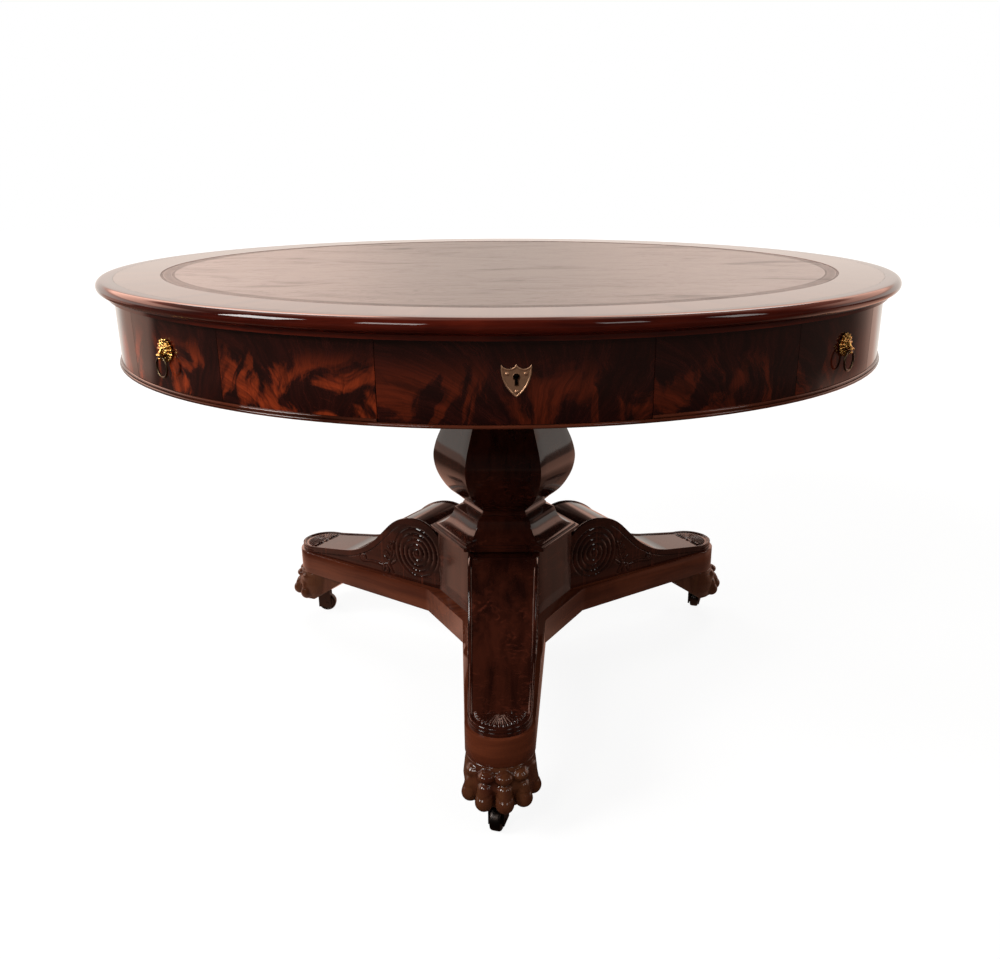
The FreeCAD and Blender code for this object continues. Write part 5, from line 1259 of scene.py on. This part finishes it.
class DRUMTABLE_OT_stage(Piece, bpy.types.Operator):
    """Pale floor, soft windows and the camera"""
    bl_idname = "drumtable.stage"
    bl_label = "Stage"

    def make(self):
        self.light_room()
        self.lay_floor()
        self.hang_windows()
        self.place_camera()
        bpy.context.scene.view_settings.view_transform = "Standard"

    def light_room(self):
        """Even light on the object, and the room that polished faces mirror."""
        stage = settings("stage")
        world = bpy.data.worlds.new("studio")
        bpy.context.scene.world = world
        world.use_nodes = True
        world.node_tree.nodes.clear()
        tree = Tree(world.node_tree)
        x, y, height = tree.split(tree.read("TexCoord", "Generated"))
        # A pale low wall, two brighter patches on it, a dark gap between them straight ahead, and a high window
        beside = tree.step(abs(x), 0.08, 0.14)
        low = tree.step(height, 0.42, 0.5, stage.sheen, stage.sheen * 0.4)
        low = low * (1.0 - tree.step(height, 0.2, 0.27) * (1.0 - beside) * 0.7)
        patches = tree.step(height, 0.2, 0.27) * tree.step(height, 0.5, 0.42)
        patches = patches * tree.step(x, -0.15, 0.1, 2.15, 1.0)
        high = tree.step(height, 0.64, 0.78, 0.0, 0.8) * tree.step(y, 0.2, 0.4)
        mirrored = (low + patches * beside) * tree.step(y, -0.1, 0.35) + high + stage.dusk
        glossy, passing, seen = tree.rays("Is Glossy Ray", "Is Transmission Ray", "Is Camera Ray")
        mirror = tree.math("MAXIMUM", glossy, passing)
        tint = tree.blend(tree.step(height, 0.14, 0.24, 0.0, 0.8), stage.tint, stage.glow)
        lit = tree.read("Background", 0, {"Color": tree.blend(mirror, DAYLIGHT, tint),
                                          "Strength": tree.between(mirror, stage.sky, mirrored)})
        white = tree.read("Background", 0, {"Color": (1, 1, 1, 1), "Strength": 1.0})
        shown = tree.read("MixShader", 0, {0: seen, 1: lit, 2: white})
        tree.set(tree.add("OutputWorld"), 0, shown)

    def lay_floor(self):
        """White floor with the table's shadow. Polished faces mirror warm patches and a far room in it."""
        stage = settings("stage")
        mesh = bpy.data.meshes.new("floor")
        corners = [(-FLOOR_REACH, -FLOOR_REACH, 0), (FLOOR_REACH, -FLOOR_REACH, 0),
                   (FLOOR_REACH, FLOOR_REACH, 0), (-FLOOR_REACH, FLOOR_REACH, 0)]
        mesh.from_pydata(corners, [], [(0, 1, 2, 3)])
        floor = bpy.data.objects.new("floor", mesh)
        bpy.context.scene.collection.objects.link(floor)
        material = bpy.data.materials.new("pale floor")
        material.use_nodes = True
        material.node_tree.nodes.clear()
        tree = Tree(material.node_tree)
        place = tree.read("TexCoord", "Object")
        away = tree.read("VectorMath", "Value", {0: place}, operation="LENGTH")
        matt = tree.read("BsdfDiffuse", 0, {"Color": (0.86, 0.86, 0.86, 1)})
        glow = tree.read("Emission", 0, {"Color": (1, 1, 1, 1), "Strength": 1.14})
        shown = tree.read("MixShader", 0, {0: tree.step(away, 1.3, 3.2, 0.78, 1.0), 1: matt, 2: glow})
        # What polished faces mirror of it: patches beside the plinth, patches farther out, and the far room
        x, y, _ = tree.split(place)
        inner = tree.step(x, -0.3, 0.3, 0.75, 0.22)
        outer = tree.step(x, -0.6, 0.6, 0.14, 0.9)
        patches = tree.between(tree.step(away, 0.8, 1.2), inner, outer) * tree.step(y, -0.05, 0.2, 0.4, 1.0)
        patches = patches * tree.step(y, -0.5, 0.0) + stage.dusk
        room = place_group(tree, room_group(), {"Vector": place, "Sheen": 1.05, "Dusk": stage.dusk * 3})
        far = tree.step(away, 2.8, 3.8)
        pale = far * tree.step(room["Pale"], 0.0, 1.0, 0.3, 1.0)
        mirror = tree.read("Emission", 0, {"Color": tree.blend(pale, stage.glow, stage.tint),
                                           "Strength": tree.between(far, patches, room["Strength"])})
        dull = tree.read("BsdfDiffuse", 0, {"Color": (0.3, 0.27, 0.25, 1)})
        glossy, seen = tree.rays("Is Glossy Ray", "Is Camera Ray")
        unseen = tree.read("MixShader", 0, {0: glossy, 1: dull, 2: mirror})
        both = tree.read("MixShader", 0, {0: seen, 1: unseen, 2: shown})
        tree.set(tree.add("OutputMaterial"), 0, both)
        mesh.materials.append(material)

    def hang_windows(self):
        """Soft windows round the table."""
        for number, (azimuth, height, distance, width, length, strength) in enumerate(WINDOWS, 1):
            lamp = bpy.data.lights.new("window_%d" % number, "AREA")
            lamp.shape = "RECTANGLE"
            lamp.size, lamp.size_y = width, length
            lamp.energy = strength * math.pi * width * length * settings("stage").lamp
            lamp.color = (1.0, 0.985, 0.96)
            window = bpy.data.objects.new("window_%d" % number, lamp)
            turn = math.radians(azimuth)
            window.location = (distance * math.sin(turn), -distance * math.cos(turn), height)
            aim = Vector((0, 0, 0.5)) - window.location
            window.rotation_euler = aim.to_track_quat("-Z", "Y").to_euler()
            bpy.context.scene.collection.objects.link(window)

    def place_camera(self):
        """Camera at the photo's angle, with the framing that was fitted to it."""
        stage = settings("stage")
        data = bpy.data.cameras.new("camera")
        data.sensor_width = 36
        data.lens = 33.325
        data.shift_x, data.shift_y = -0.0277, 0.0026
        data.clip_end = 60
        camera = bpy.data.objects.new("camera", data)
        turn = stage.camera_azimuth
        distance, height = 1.5733, 0.8887
        camera.location = (distance * math.sin(turn), -distance * math.cos(turn), height)
        camera.rotation_euler = (QUARTER - stage.camera_pitch, 0, turn + stage.camera_yaw)
        bpy.context.scene.collection.objects.link(camera)
        bpy.context.scene.camera = camera


OPERATORS = (DRUMTABLE_OT_stage, DRUMTABLE_OT_top, DRUMTABLE_OT_frieze, DRUMTABLE_OT_drawers,
             DRUMTABLE_OT_shields, DRUMTABLE_OT_masks, DRUMTABLE_OT_pillar, DRUMTABLE_OT_platform,
             DRUMTABLE_OT_legs, DRUMTABLE_OT_paws, DRUMTABLE_OT_castors)
GROUPS = {"woods": DrumTableWoods, "top": DrumTableTop, "metals": DrumTableMetals, "carving": DrumTableCarving,
          "stage": DrumTableStage}


class DRUMTABLE_PT_panel(bpy.types.Panel):
    """Buttons and settings of the drum table"""
    bl_idname = "DRUMTABLE_PT_panel"
    bl_label = "Drum table"
    bl_space_type = "VIEW_3D"
    bl_region_type = "UI"
    bl_category = "Drum table"

    def draw(self, context):
        for operator in OPERATORS:
            self.layout.operator(operator.bl_idname)
        for name, group in GROUPS.items():
            box = self.layout.box()
            box.label(text=name.capitalize())
            for prop in group.__annotations__:
                box.prop(settings(name), prop)


def register():
    for group in GROUPS.values():
        bpy.utils.register_class(group)
    for name, group in GROUPS.items():
        setattr(bpy.types.Scene, "drumtable_" + name, PointerProperty(type=group))
    for operator in OPERATORS:
        bpy.utils.register_class(operator)
    bpy.utils.register_class(DRUMTABLE_PT_panel)


def unregister():
    bpy.utils.unregister_class(DRUMTABLE_PT_panel)
    for operator in reversed(OPERATORS):
        bpy.utils.unregister_class(operator)
    for name in GROUPS:
        delattr(bpy.types.Scene, "drumtable_" + name)
    for group in reversed(list(GROUPS.values())):
        bpy.utils.unregister_class(group)


def main():
    register()
    for operator in OPERATORS:
        getattr(bpy.ops.drumtable, operator.bl_idname.split(".")[1])()
    bpy.context.view_layer.update()


if __name__ == "__main__":
    main()
